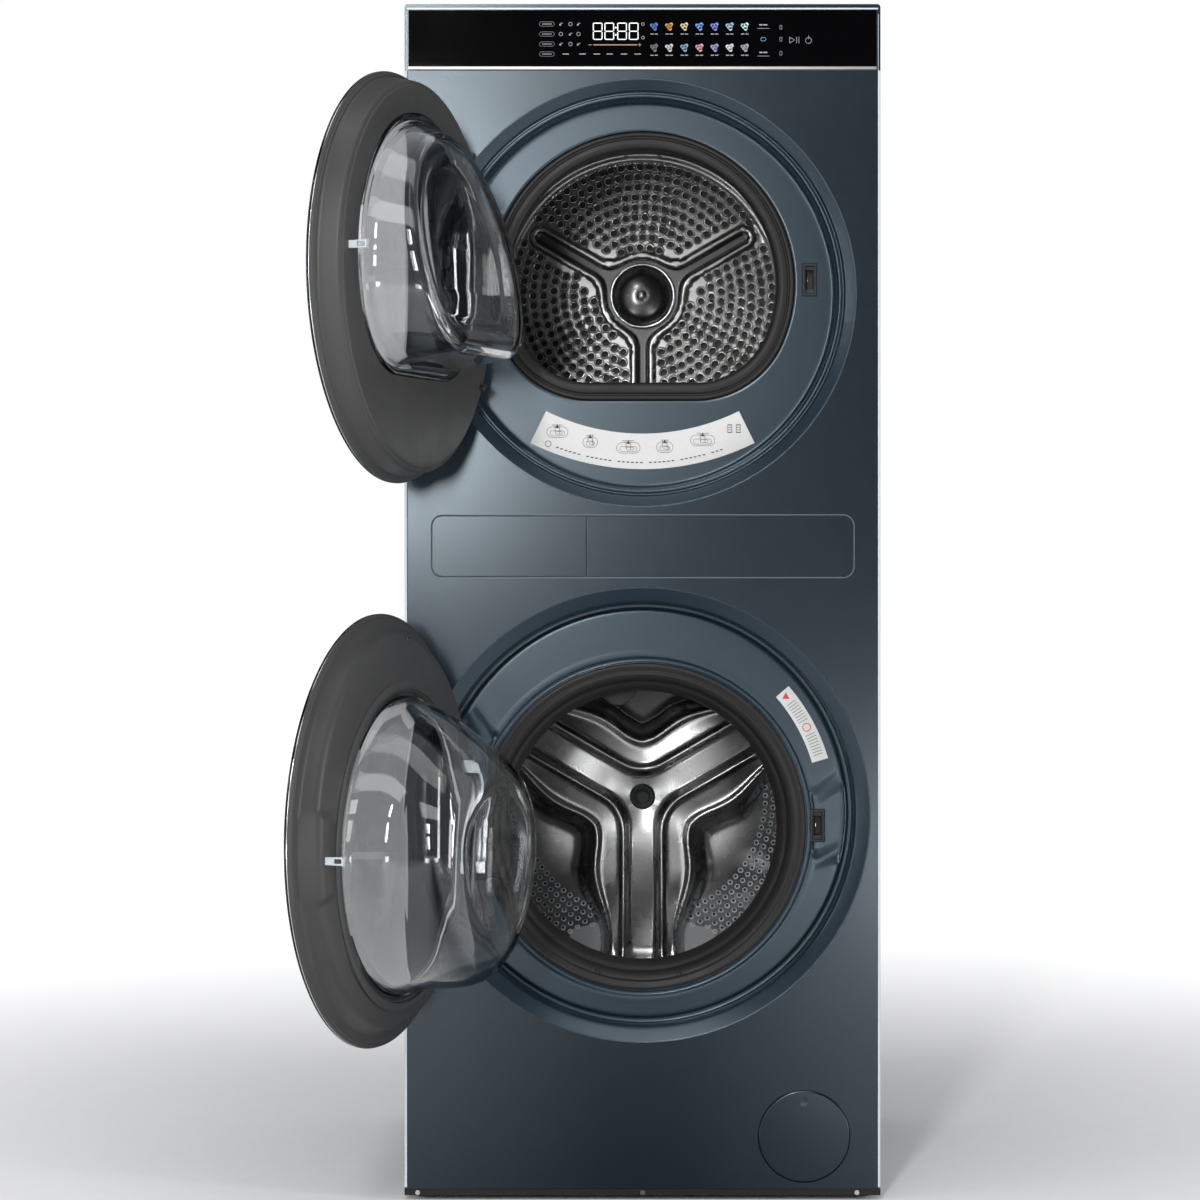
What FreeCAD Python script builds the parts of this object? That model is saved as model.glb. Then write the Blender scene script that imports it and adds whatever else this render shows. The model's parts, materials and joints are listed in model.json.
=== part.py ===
import FreeCAD, Part
import math
import os
import re
import Sketcher

# Washer dryer stack: a dryer over a washer in one cabinet 595 mm wide.
# Frame: origin on the floor under the middle of the cabinet, +X right, +Y to the rear, +Z up.
# Both round doors stand open, turned about their hinge pins on the left.

Vector = FreeCAD.Vector
document = FreeCAD.newDocument("WasherDryerStack")
sheet = document.addObject("Spreadsheet::Sheet", "Sizes")
nodes = []

SIZES = {
    # cabinet
    "cabinet_width": 595, "cabinet_depth": 600, "cabinet_height": 1495, "steel": 1.2,
    "front_face": -300, "panel_return": 20.5, "panel_corner": 4, "skirt_bottom": 6,
    "panel_bottom": 14, "panel_top": 1412, "glass_bottom": 1418.75, "top_bottom": 1487.5,
    "side_flange": 10, "frame_edge": 5,
    # base and feet
    "base_bottom": 11.5, "base_wall": 2.5, "base_rise": 33.5, "foot_x": 270, "foot_y": 262,
    "foot_radius": 18, "pad_rise": 5.5, "stud_radius": 5, "boss_radius": 11,
    # dryer
    "dryer_centre": 1134, "dryer_axis": 1168, "dryer_bezel": 268, "dryer_recess": 245,
    "dryer_face": -263, "dryer_drum_radius": 275, "dryer_drum_front": -215,
    "dryer_drum_back": 158, "mouth_rise": 15, "mouth_flat": 115, "mouth_radius": 168,
    "mouth_corner": 60, "seal_width": 23, "dryer_lifter": 40,
    # washer
    "washer_centre": 481, "washer_axis": 474, "mouth_centre": 464, "washer_bezel": 285,
    "washer_recess": 265, "washer_face": -266, "washer_mouth": 206, "washer_drum_radius": 248,
    "washer_drum_front": -185, "washer_drum_back": 106, "tub_radius": 270, "tub_front_face": -200,
    "tub_back_face": 135, "tub_joint": -40, "washer_lifter": 30,
    # doors
    "door_angle": 109, "dryer_door_radius": 243, "dryer_hinge_x": -217.5,
    "washer_door_radius": 255.5, "washer_hinge_x": -231, "hinge_y": -300,
    "pin_radius": 3, "pin_bore": 3.05, "knuckle_radius": 5, "lug_low": 58, "lug_high": 72,
    # drawer, service cover and pump filter
    "drawer_left": -262.5, "drawer_right": 262.5, "drawer_split": -70.4, "drawer_low": 779.2,
    "drawer_high": 855.3, "drawer_corner": 12, "drawer_depth": 260, "split_gap": 0.8,
    "cover_x": 202, "cover_z": 79.5, "cover_radius": 57.3, "cover_gap": 0.7, "cover_thick": 3.5,
    # drive
    "motor_x": -238, "motor_z": 925, "motor_radius": 46, "pulley_radius": 12, "belt_thick": 3,
    "belt_gap": 0.4, "belt_front": 58, "belt_width": 12, "shaft_radius": 6,
    "drum_shaft": 12, "washer_shaft": 15, "fit_gap": 0.05,
    # rear connections
    "inlet_x": 190, "inlet_pitch": 45, "inlet_z": 900, "inlet_radius": 13.2, "inlet_bore": 8,
    "inlet_thread": 12.8,
    "spigot_x": -225, "spigot_z": 830, "spigot_radius": 11, "gland_x": -225, "gland_z": 900,
    "gland_radius": 8.8, "gland_bore": 4.5, "rear_face": 299.2,
}

NAMES = {name: "Sizes." + name for name in SIZES}


def formula(text):
    """Turn the bare size names in a formula into references to the sheet."""
    return re.sub(r"[a-z][a-z_]+", lambda word: NAMES.get(word.group(0), word.group(0)), text)


def size(text):
    """Work out a formula of size names, in millimetres."""
    return float(sheet.evalExpression(formula(text)))


def bind(item, **formulas):
    """Bind an object's properties to the sheet."""
    for name, text in formulas.items():
        item.setExpression(name.replace("__", "."), formula(text))


def fill_sheet():
    for row, (alias, number) in enumerate(SIZES.items(), start=1):
        sheet.set("A%d" % row, alias)
        sheet.set("B%d" % row, str(number))
        sheet.setAlias("B%d" % row, alias)
    document.recompute()


def keep(item, label):
    """Name a finished sub-part and put it on the list to export."""
    item.Label = label
    nodes.append(item)
    return item


# ---------------------------------------------------------------- building blocks

def box(x, y, z, length, width, height):
    """A box from its low corner, with every size a formula."""
    item = document.addObject("Part::Box", "Block")
    bind(item, Length=length, Width=width, Height=height,
         Placement__Base__x=x, Placement__Base__y=y, Placement__Base__z=z)
    return item


def span(x_low, x_high, y_low, y_high, z_low, z_high):
    """A box between two corners."""
    return box(x_low, y_low, z_low, "(%s)-(%s)" % (x_high, x_low),
               "(%s)-(%s)" % (y_high, y_low), "(%s)-(%s)" % (z_high, z_low))


TURNS = {
    "x": FreeCAD.Rotation(Vector(0, 1, 0), 90),
    "y": FreeCAD.Rotation(Vector(1, 0, 0), -90),
    "z": FreeCAD.Rotation(),
}


def rod(x, y, z, radius, length, axis="y"):
    """A cylinder that runs from a point along +X, +Y or +Z."""
    item = document.addObject("Part::Cylinder", "Rod")
    item.Placement.Rotation = TURNS[axis]
    bind(item, Radius=radius, Height=length,
         Placement__Base__x=x, Placement__Base__y=y, Placement__Base__z=z)
    return item


def fuse(*parts):
    item = document.addObject("Part::MultiFuse", "Fusion")
    item.Shapes = list(parts)
    return item


def cut(base, *tools):
    """Take the tools away from the base."""
    item = document.addObject("Part::Cut", "Cut")
    item.Base = base
    item.Tool = tools[0] if len(tools) == 1 else fuse(*tools)
    return item


def group(*parts):
    """Several separate solids in one sub-part."""
    item = document.addObject("Part::Compound", "Group")
    item.Links = list(parts)
    return item


def fillet(base, radius, picks):
    """Round the edges of a solid that the test picks."""
    document.recompute()
    item = document.addObject("Part::Fillet", "Rounded")
    item.Base = base
    edges = [number for number, edge in enumerate(base.Shape.Edges, start=1) if picks(edge)]
    item.Edges = [(number, size(radius), size(radius)) for number in edges]
    return item


def plane_of(body, role):
    return [item for item in body.Origin.OriginFeatures if item.Role == role][0]


def polygon_sketch(body, role, points):
    """A closed polygon on an origin plane, every corner placed by two formulas."""
    sketch = body.newObject("Sketcher::SketchObject", "Outline")
    sketch.AttachmentSupport = [(plane_of(body, role), "")]
    sketch.MapMode = "FlatFace"
    corners = [Vector(size(first), size(second), 0) for first, second in points]
    count = len(corners)
    for index in range(count):
        sketch.addGeometry(Part.LineSegment(corners[index], corners[(index + 1) % count]), False)
    for index in range(count):
        sketch.addConstraint(Sketcher.Constraint("Coincident", index, 2, (index + 1) % count, 1))
    for index, (first, second) in enumerate(points):
        for kind, text in (("DistanceX", first), ("DistanceY", second)):
            place = sketch.addConstraint(
                Sketcher.Constraint(kind, -1, 1, index, 1, size(text)))
            sketch.setExpression("Constraints[%d]" % place, formula(text))
    return sketch


def turned(centre, points, centre_x="0"):
    """A solid turned about a line along Y; its points are (radius, y)."""
    body = document.addObject("PartDesign::Body", "Turned")
    sketch = polygon_sketch(body, "XY_Plane", points)
    turn = body.newObject("PartDesign::Revolution", "Turn")
    turn.Profile = sketch
    turn.ReferenceAxis = (sketch, ["V_Axis"])
    turn.Angle = 360
    bind(body, Placement__Base__z=centre, Placement__Base__x=centre_x)
    return body


def prism(points, y_low, length, centre="0"):
    """A solid with an outline in X and Z, drawn out along +Y from y_low."""
    body = document.addObject("PartDesign::Body", "Prism")
    sketch = polygon_sketch(body, "XZ_Plane", points)
    pad = body.newObject("PartDesign::Pad", "Length")
    pad.Profile = sketch
    pad.Reversed = True
    bind(pad, Length=length)
    bind(body, Placement__Base__y=y_low, Placement__Base__z=centre)
    return body


def mouth_wire(radius, flat, corner, y):
    """The dryer mouth's outline: a circle with a flat bottom and round lower corners."""
    rise = size("mouth_rise")
    centre = Vector(0, y, rise)
    drop = corner - flat - rise
    reach = math.sqrt((radius - corner) ** 2 - drop ** 2)
    side = Vector(reach, y, corner - flat)
    outward = (side - centre).normalize()
    touch = side + outward * corner
    middle = (outward + Vector(0, 0, -1)).normalize()
    low = Vector(reach, y, -flat)
    mirror = [Vector(-point.x, point.y, point.z) for point in (touch, side + middle * corner, low)]
    edges = [
        Part.Arc(touch, centre + Vector(0, 0, radius), mirror[0]).toShape(),
        Part.Arc(mirror[0], mirror[1], mirror[2]).toShape(),
        Part.LineSegment(mirror[2], low).toShape(),
        Part.Arc(low, side + middle * corner, touch).toShape(),
    ]
    return Part.Wire(edges)


def mouth_solid(grow, y_low, length):
    """A block with the outline of the dryer mouth, larger by grow all round."""
    wire = mouth_wire(size("mouth_radius") + grow, size("mouth_flat") + grow,
                      size("mouth_corner") + grow, y_low)
    item = document.addObject("Part::Feature", "MouthBlock")
    item.Shape = Part.Face(wire).extrude(Vector(0, length, 0))
    item.Placement.Base = Vector(0, 0, size("dryer_centre"))
    return item


# ---------------------------------------------------------------- cabinet

def side_panel(label, inner):
    """A steel side with a folded flange along its front and rear edges."""
    low = "(%s*cabinet_width/2)" % inner
    sheet_low = "min(%s;%s-(%s)*side_flange)" % (low, low, inner)
    blank = box(sheet_low, "front_face+panel_return+0.5", "panel_bottom", "side_flange",
                "cabinet_depth-panel_return-2.5", "top_bottom-panel_bottom-0.5")
    hollow_low = "min(%s-(%s)*steel;%s-(%s)*(side_flange+10))" % (low, inner, low, inner)
    hollow = box(hollow_low, "front_face+panel_return+0.5+steel", "panel_bottom-1",
                 "side_flange+10-steel", "cabinet_depth-panel_return-2.5-2*steel",
                 "top_bottom-panel_bottom+2")
    return keep(cut(blank, hollow), label)


def drawer_outline(x_low, x_high, corner_side, gap, y_low, length):
    """A plate of the drawer strip, round at its outer end."""
    plate = box("%s" % x_low, y_low, "drawer_low+%s" % gap, "(%s)-(%s)" % (x_high, x_low),
                length, "drawer_high-drawer_low-2*%s" % gap)
    ends = [size(x_low), size(x_high)]

    def round_end(edge):
        upright = abs(edge.tangentAt(edge.FirstParameter).y) > 0.9
        at = edge.CenterOfMass.x
        return upright and any(abs(at - ends[side]) < 0.1 for side in corner_side)

    return fillet(plate, "drawer_corner", round_end)


def front_panel():
    """The folded steel front, open for both rings, the drawer strip and the service cover."""
    blank = span("-cabinet_width/2", "cabinet_width/2", "front_face",
                 "front_face+panel_return", "panel_bottom", "panel_top")

    def front_corner(edge):
        upright = abs(edge.tangentAt(edge.FirstParameter).z) > 0.9
        return upright and edge.CenterOfMass.y < size("front_face") + 1

    rounded = fillet(blank, "panel_corner", front_corner)
    hollow = span("-cabinet_width/2+steel", "cabinet_width/2-steel", "front_face+steel",
                  "front_face+panel_return+1", "panel_bottom-1", "panel_top+1")
    deep = "front_face-5"
    holes = [
        rod("0", deep, "dryer_centre", "dryer_bezel+0.3", "20"),
        rod("0", deep, "washer_centre", "washer_bezel+0.3", "20"),
        drawer_outline("drawer_left-split_gap", "drawer_right+split_gap", (0, 1), "0", deep, "20"),
        rod("cover_x", deep, "cover_z", "cover_radius+cover_gap", "20"),
    ]
    return keep(cut(rounded, hollow, *holes), "front_panel")


def top_cover():
    lid = span("-cabinet_width/2", "cabinet_width/2", "front_face", "-front_face",
               "top_bottom", "cabinet_height")

    def long_edge(edge):
        along = abs(edge.tangentAt(edge.FirstParameter).y) > 0.9
        return along and edge.CenterOfMass.z > size("cabinet_height") - 0.1

    rounded = fillet(lid, "panel_corner", long_edge)
    hollow = span("-cabinet_width/2+2", "cabinet_width/2-2", "front_face+2", "-front_face-2",
                  "top_bottom-1", "cabinet_height-2")
    return keep(cut(rounded, hollow), "top_cover")


def rear_panel():
    plate = span("-cabinet_width/2+0.5", "cabinet_width/2-0.5", "rear_face-steel", "rear_face",
                 "panel_bottom", "top_bottom-0.5")
    behind = "rear_face-10"
    holes = [rod("inlet_x+%d*inlet_pitch" % side, behind, "inlet_z", "inlet_radius+0.5", "20")
             for side in (0, 1)]
    holes.append(rod("gland_x", behind, "gland_z", "gland_radius+0.2", "20"))
    holes.append(rod("spigot_x", behind, "spigot_z", "spigot_radius+0.5", "20"))
    return keep(cut(plate, *holes), "rear_panel")


def foot_places():
    return [("%d*foot_x" % side, "%d*foot_y" % end) for end in (-1, 1) for side in (-1, 1)]


def base_frame():
    """An open tray with a threaded boss for each foot and a narrow skirt below the front."""
    tray = span("-foot_x-17", "foot_x+17", "front_face+6", "-front_face-6",
                "base_bottom", "base_bottom+base_rise")
    hollow = span("-foot_x-17+base_wall", "foot_x+17-base_wall", "front_face+6+base_wall",
                  "-front_face-6-base_wall", "base_bottom+base_wall", "base_bottom+base_rise+1")
    shell = cut(tray, hollow)
    bosses = [rod(x, y, "base_bottom+1", "boss_radius", "base_rise-5", "z")
              for x, y in foot_places()]
    bores = [rod(x, y, "base_bottom-5", "stud_radius+0.1", "base_rise+10", "z")
             for x, y in foot_places()]
    skirt = span("-cabinet_width/2", "cabinet_width/2", "front_face", "front_face+3",
                 "skirt_bottom", "panel_bottom-0.4")
    web = span("-foot_x-17", "foot_x+17", "front_face+1", "front_face+7",
               "base_bottom", "panel_bottom-0.4")
    holes = [rod(x, "front_face-1", "skirt_bottom+3.5", "1.7", "20") for x in SCREW_PLACES]
    flap_room = span("cover_x-cover_radius", "cover_x+cover_radius", "front_face+5",
                     "front_face+12", "cover_z-62", "cover_z")
    return keep(cut(fuse(shell, skirt, web, *bosses), *bores, *holes, flap_room), "base_frame")


def levelling_feet():
    feet = []
    for x, y in foot_places():
        pad = rod(x, y, "0", "foot_radius", "pad_rise", "z")
        nut = rod(x, y, "pad_rise", "stud_radius+3.5", "base_bottom-pad_rise-0.2", "z")
        stud = rod(x, y, "pad_rise-1", "stud_radius", "base_rise", "z")
        feet.append(fuse(pad, nut, stud))
    return keep(group(*feet), "levelling_feet")


SCREW_PLACES = ("-281", "0", "268")


def cabinet_screws():
    """Three screws in the base skirt and the rows that hold the rear panel."""
    screws = []
    for x in SCREW_PLACES:
        head = rod(x, "front_face-1.2", "skirt_bottom+3.5", "3", "1.2")
        screws.append(fuse(head, rod(x, "front_face-0.5", "skirt_bottom+3.5", "1.5", "6")))
    for side in (-1, 1):
        for step in range(6):
            height = "panel_bottom+40+%d*(top_bottom-panel_bottom-80)/5" % step
            screws.append(rod("%d*(cabinet_width/2-8)" % side, "rear_face", height, "4", "2"))
    return keep(group(*screws), "cabinet_screws")


def control_panel():
    """The housing, its black glass, the trim strip below it and the board behind it."""
    half = "cabinet_width/2"
    block = span("-" + half, half, "front_face", "front_face+panel_return",
                 "panel_top", "top_bottom")
    inside = "(%s-frame_edge)" % half
    pocket = span("-" + inside, inside, "front_face-1", "front_face+4",
                  "panel_top+0.5", "top_bottom+1")
    rear = span("-" + inside + "+5", inside + "-5", "front_face+5", "front_face+panel_return+1",
                "panel_top+4", "top_bottom-3")
    keep(cut(block, pocket, rear), "control_housing")
    keep(span("-" + inside, inside, "front_face", "front_face+4",
              "glass_bottom", "top_bottom"), "control_glass")
    keep(span("-" + inside, inside, "front_face", "front_face+3",
              "panel_top+0.6", "glass_bottom-0.1"), "trim_strip")
    board = span("-160", "200", "front_face+8", "front_face+9.6", "panel_top+12", "top_bottom-8")
    display = span("-75", "5", "front_face+5.2", "front_face+8", "panel_top+30", "top_bottom-12")
    keep(fuse(board, display), "control_board")


# ---------------------------------------------------------------- rings, seals and locks

def dryer_front_ring():
    """The recessed round bezel round the dryer's mouth."""
    ring = turned("dryer_centre", [
        ("dryer_bezel", "front_face"), ("dryer_bezel-15.5", "front_face+9"),
        ("dryer_bezel-18", "front_face+11.5"), ("dryer_recess+1.5", "front_face+11.5"),
        ("dryer_recess", "front_face+14"), ("dryer_recess-3", "dryer_face-1.5"),
        ("dryer_recess-5", "dryer_face"), ("100", "dryer_face"), ("100", "dryer_face+2.5"),
        ("dryer_recess-1.5", "dryer_face+2.5"), ("dryer_recess+2.5", "front_face+15"),
        ("dryer_bezel-13.5", "front_face+13"), ("dryer_bezel", "front_face+4"),
        ("dryer_bezel+8", "front_face+4"), ("dryer_bezel+8", "front_face+1.5"),
        ("dryer_bezel", "front_face+1.5")])
    mouth = mouth_solid(size("seal_width") + 1, size("dryer_face") - 5, 12)
    return keep(cut(ring, mouth, *lock_holes("dryer")), "dryer_front_ring")


def washer_front_ring():
    """The recessed round bezel round the washer's mouth, with a groove at its foot."""
    ring = turned("washer_centre", [
        ("washer_bezel", "front_face"), ("washer_bezel-19", "front_face+10"),
        ("washer_recess", "front_face+13"), ("washer_recess-1", "washer_face+4"),
        ("washer_recess-7", "washer_face+4"), ("washer_recess-9", "washer_face"),
        ("120", "washer_face"), ("120", "washer_face+2.5"), ("washer_recess-10", "washer_face+2.5"),
        ("washer_recess-9", "washer_face+6.5"), ("washer_recess+2", "washer_face+6.5"),
        ("washer_recess+3", "front_face+14"), ("washer_bezel", "front_face+4"),
        ("washer_bezel+10", "front_face+4"), ("washer_bezel+10", "front_face+1.5"),
        ("washer_bezel", "front_face+1.5")])
    mouth = rod("0", "washer_face-10", "mouth_centre", "washer_mouth", "30")
    return keep(cut(ring, mouth, *lock_holes("washer")), "washer_front_ring")


# each lock's middle X, its middle Z, and the ring face that it sits in
LOCKS = {
    "dryer": ("210.6", "dryer_centre+19.6", "dryer_face"),
    "washer": ("220.6", "washer_centre-15.9", "washer_face"),
}


def lock_holes(name):
    x, z, face = LOCKS[name]
    return [span(x + "-9.8", x + "+9.8", face + "-3", face + "+4", z + "-21.2", z + "+21.2")]


def door_locks():
    """Two lock boxes, each with a slot that takes the door's hook."""
    locks = []
    for x, z, face in LOCKS.values():
        body = fuse(span(x + "-9.5", x + "+9.5", face + "-0.8", face + "+3", z + "-21", z + "+21"),
                    span(x + "-14", x + "+16", face + "+3", face + "+24", z + "-32", z + "+32"))
        slot = span(x + "-6.5", x + "+7.5", face + "-2", face + "+20", z + "-13", z + "+13")
        locks.append(cut(body, slot))
    return keep(group(*locks), "door_locks")


def dryer_door_seal():
    outer = mouth_solid(size("seal_width"), size("dryer_face") - 1, 22)
    inner = mouth_solid(0, size("dryer_face") - 2, 24)
    return keep(cut(outer, inner), "dryer_door_seal")


def washer_gasket():
    """The rubber bellows from the ring to the tub's mouth."""
    return keep(turned("mouth_centre", [
        ("washer_mouth-0.5", "washer_face"), ("washer_mouth-14", "washer_face"),
        ("170", "-240"), ("169", "-226"), ("175", "-218"), ("184", "-213"),
        ("184", "tub_front_face-0.3"), ("188", "tub_front_face-0.3"), ("188", "-217"),
        ("178", "-222"), ("174", "-228"), ("175", "-238"), ("washer_mouth-11", "-260"),
        ("washer_mouth-0.5", "-260")]), "washer_gasket")


# ---------------------------------------------------------------- dryer works

def dryer_bulkheads():
    """The front plate with its filter guide, and the rear plate with the drum's bearing."""
    rim = "dryer_drum_radius+3"
    front = turned("dryer_axis", [
        ("60", "-238"), (rim + "+3", "-238"), (rim + "+3", "-205"), (rim, "-205"),
        (rim, "-235"), ("60", "-235")])
    guides = [span("%d" % low, "%d" % (low + 5), "-235.5", "-219", "922", "1012")
              for low in (-85, 80)]
    ledge = span("-85", "85", "-235.5", "-219", "918", "923")
    mouth = mouth_solid(4, -245, 15)
    keep(cut(fuse(front, *guides, ledge), mouth), "dryer_bulkhead_front")
    bore = "drum_shaft+fit_gap"
    keep(turned("dryer_axis", [
        (bore, "175"), (rim, "175"), (rim, "150"), (rim + "+3", "150"), (rim + "+3", "178"),
        ("30", "178"), ("30", "200"), (bore, "200")]), "dryer_bulkhead_rear")


def dryer_drum():
    radius = "dryer_drum_radius"
    front = "dryer_drum_front"
    back = "dryer_drum_back"
    keep(turned("dryer_axis", [
        (radius + "-13", front), (radius, front), (radius, back), (radius + "-1.5", back),
        (radius + "-1.5", front + "+1.5"), (radius + "-13", front + "+1.5")]),
        "dryer_drum_shell")
    keep(turned("dryer_axis", [
        ("0", back + "-9"), ("40", back + "-5"), ("43", back), (radius, back),
        (radius, back + "+2"), ("45", back + "+2"), ("40", back + "+12"),
        ("drum_shaft", back + "+12"), ("drum_shaft", back + "+44"), ("0", back + "+44")]),
        "dryer_drum_back")
    keep(lifters(radius, "dryer_axis", front + "+25", back + "-30", "dryer_lifter"),
         "dryer_drum_lifters")


def lifters(radius, axis, y_low, y_high, rise):
    """Three paddles that stand in from the drum's wall."""
    foot = "-(%s-6)" % radius
    crest = "-(%s-6-%s)" % (radius, rise)
    paddles = []
    for angle in (60, 180, 300):
        paddle = prism([("-30", foot), ("30", foot), ("11", crest), ("-11", crest)],
                       y_low, "(%s)-(%s)" % (y_high, y_low), axis)
        paddle.Placement.Rotation = FreeCAD.Rotation(Vector(0, 1, 0), angle)
        paddles.append(paddle)
    return group(*paddles)


def belt_loop(grow):
    """The area inside a belt round the drum and the pulley, larger by grow."""
    drum = Vector(0, 0, size("dryer_axis"))
    pulley = Vector(size("motor_x"), 0, size("motor_z"))
    big = size("dryer_drum_radius") + grow
    small = size("pulley_radius") + grow
    line = pulley - drum
    lean = math.acos((big - small) / line.Length)
    heading = math.atan2(line.z, line.x)
    touches = []
    for turn in (heading + lean, heading - lean):
        outward = Vector(math.cos(turn), 0, math.sin(turn))
        touches.append((drum + outward * big, pulley + outward * small))
    unit = Vector(line.x, 0, line.z).normalize()
    (drum_a, pulley_a), (drum_b, pulley_b) = touches
    edges = [
        Part.Arc(drum_a, drum - unit * big, drum_b).toShape(),
        Part.LineSegment(drum_b, pulley_b).toShape(),
        Part.Arc(pulley_b, pulley + unit * small, pulley_a).toShape(),
        Part.LineSegment(pulley_a, drum_a).toShape(),
    ]
    return Part.Face(Part.Wire(edges))


def drum_belt():
    gap = size("belt_gap")
    width = Vector(0, size("belt_width"), 0)
    outer = belt_loop(gap + size("belt_thick")).extrude(width)
    belt = document.addObject("Part::Feature", "Belt")
    belt.Shape = outer.cut(belt_loop(gap).extrude(width))
    belt.Placement.Base = Vector(0, size("belt_front"), 0)
    return keep(belt, "drum_belt")


def dryer_drive():
    """The motor with the blower on its front end, and the shaft that turns in both."""
    bore = "shaft_radius+fit_gap"
    keep(turned("motor_z", [
        (bore, "-60"), ("30", "-60"), ("motor_radius", "-52"), ("motor_radius", "32"),
        ("30", "40"), (bore, "40")], "motor_x"), "dryer_motor")
    keep(turned("motor_z", [
        ("22", "-135"), ("motor_radius", "-135"), ("motor_radius", "-75"), ("8", "-75"),
        ("8", "-77"), ("motor_radius-2", "-77"), ("motor_radius-2", "-133"), ("22", "-133")],
        "motor_x"), "blower_housing")
    keep(turned("motor_z", [
        ("0", "-125"), ("motor_radius-6", "-125"), ("motor_radius-6", "-85"),
        ("shaft_radius", "-85"), ("shaft_radius", "56"), ("pulley_radius+3", "56"),
        ("pulley_radius+3", "57.5"), ("pulley_radius", "57.5"), ("pulley_radius", "71"),
        ("pulley_radius+3", "71"), ("pulley_radius+3", "72.5"), ("0", "72.5")],
        "motor_x"), "motor_pulley")


def heat_pump():
    keep(turned("motor_z", [
        ("0", "-66"), ("30", "-62"), ("46", "-48"), ("46", "92"), ("30", "106"), ("0", "110")],
        "-motor_x"), "compressor")
    block = span("-150", "170", "60", "230", "780", "878")
    slots = [span("-151", "171", "%d" % low, "%d" % (low + 6), "790", "880")
             for low in range(72, 220, 14)]
    keep(cut(block, *slots), "heat_exchanger")


def lint_filter():
    frame = span("-78", "78", "-233", "-221", "925", "1016")
    pocket = span("-72", "72", "-230", "-224", "931", "1017")
    return keep(cut(frame, pocket), "lint_filter")


# ---------------------------------------------------------------- washer works

def washer_drum():
    radius = "washer_drum_radius"
    front = "washer_drum_front"
    back = "washer_drum_back"
    keep(turned("washer_axis", [
        ("188", front), (radius, front), (radius, back), (radius + "-1.5", back),
        (radius + "-1.5", front + "+1.5"), ("188", front + "+1.5")]), "washer_drum_shell")
    keep(turned("washer_axis", [
        ("0", back + "-4"), ("30", back), (radius, back), (radius, back + "+2"),
        ("60", back + "+2"), ("50", back + "+14"), ("washer_shaft", back + "+14"),
        ("washer_shaft", "tub_back_face+55"), ("0", "tub_back_face+55")]),
        "washer_drum_back")
    keep(lifters(radius, "washer_axis", front + "+20", back + "-20", "washer_lifter"),
         "washer_drum_lifters")


def washer_tub():
    """Two plastic half tubs bolted at a flange, with the drum's bearing in the rear one."""
    radius = "tub_radius"
    keep(turned("washer_axis", [
        ("200", "tub_front_face"), (radius, "tub_front_face"), (radius, "tub_joint-6"),
        (radius + "+8", "tub_joint-6"), (radius + "+8", "tub_joint"), (radius + "-3", "tub_joint"),
        (radius + "-3", "tub_front_face+3"), ("200", "tub_front_face+3")]), "tub_front")
    bore = "washer_shaft+fit_gap"
    keep(turned("washer_axis", [
        (radius + "-3", "tub_joint+0.3"), (radius + "+8", "tub_joint+0.3"),
        (radius + "+8", "tub_joint+6"), (radius, "tub_joint+6"), (radius, "tub_back_face"),
        ("40", "tub_back_face"), ("40", "tub_back_face+18"), (bore, "tub_back_face+18"),
        (bore, "tub_back_face-12"), ("40", "tub_back_face-12"), ("48", "tub_back_face-3"),
        (radius + "-3", "tub_back_face-3")]), "tub_rear")


def washer_motor():
    """The direct drive: a coil ring on the tub and a magnet cup on the drum's shaft."""
    keep(turned("washer_axis", [
        ("45", "tub_back_face+0.3"), ("110", "tub_back_face+0.3"), ("110", "tub_back_face+28"),
        ("45", "tub_back_face+28")]), "motor_stator")
    keep(turned("washer_axis", [
        ("washer_shaft", "tub_back_face+34"), ("118", "tub_back_face+34"),
        ("118", "tub_back_face+6"), ("112", "tub_back_face+6"), ("112", "tub_back_face+31"),
        ("washer_shaft", "tub_back_face+31")]), "motor_rotor")


def counterweights():
    """Two cast half rings on the tub's front face."""
    rings = turned("washer_axis", [
        ("212", "tub_front_face-28"), ("262", "tub_front_face-28"),
        ("262", "tub_front_face-0.3"), ("212", "tub_front_face-0.3")])
    gap = span("-300", "300", "tub_front_face-40", "tub_front_face+10",
               "washer_axis-60", "washer_axis+60")
    return keep(cut(rings, gap), "counterweights")


def suspension():
    """Four hanging springs above the tub and two dampers below it."""
    springs = []
    dampers = []
    for side in (-1, 1):
        for y in ("-150", "90"):
            springs.append(rod("%d*255" % side, y, "washer_axis+140", "9", "130", "z"))
        tube = rod("%d*150" % side, "-20", "base_bottom+base_wall+1", "14", "70", "z")
        plunger = rod("%d*150" % side, "-20", "base_bottom+base_wall+60", "9", "112", "z")
        dampers.append(fuse(tube, plunger))
    keep(group(*springs), "suspension_springs")
    keep(group(*dampers), "dampers")


def drain_pump():
    """The pump behind the service cover, and the threaded plug that closes its filter."""
    keep(turned("cover_z", [
        ("31", "-272"), ("38", "-272"), ("38", "-180"), ("0", "-180"), ("0", "-186"),
        ("31", "-186")], "cover_x"), "drain_pump")
    grip = span("cover_x-22", "cover_x+22", "-290", "-277", "cover_z-3", "cover_z+3")
    plug = turned("cover_z", [
        ("0", "-279"), ("36", "-279"), ("36", "-273"), ("30.9", "-273"), ("30.9", "-240"),
        ("0", "-240")], "cover_x")
    keep(fuse(grip, plug), "filter_plug")


def service_cover():
    """A round flap, hinged low down, that hides the filter plug."""
    disc = rod("cover_x", "front_face", "cover_z", "cover_radius", "cover_thick")
    dimple = rod("cover_x", "front_face-1", "cover_z+43", "6", "2.2")
    return keep(cut(disc, dimple), "service_cover")


# ---------------------------------------------------------------- drawer

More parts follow.
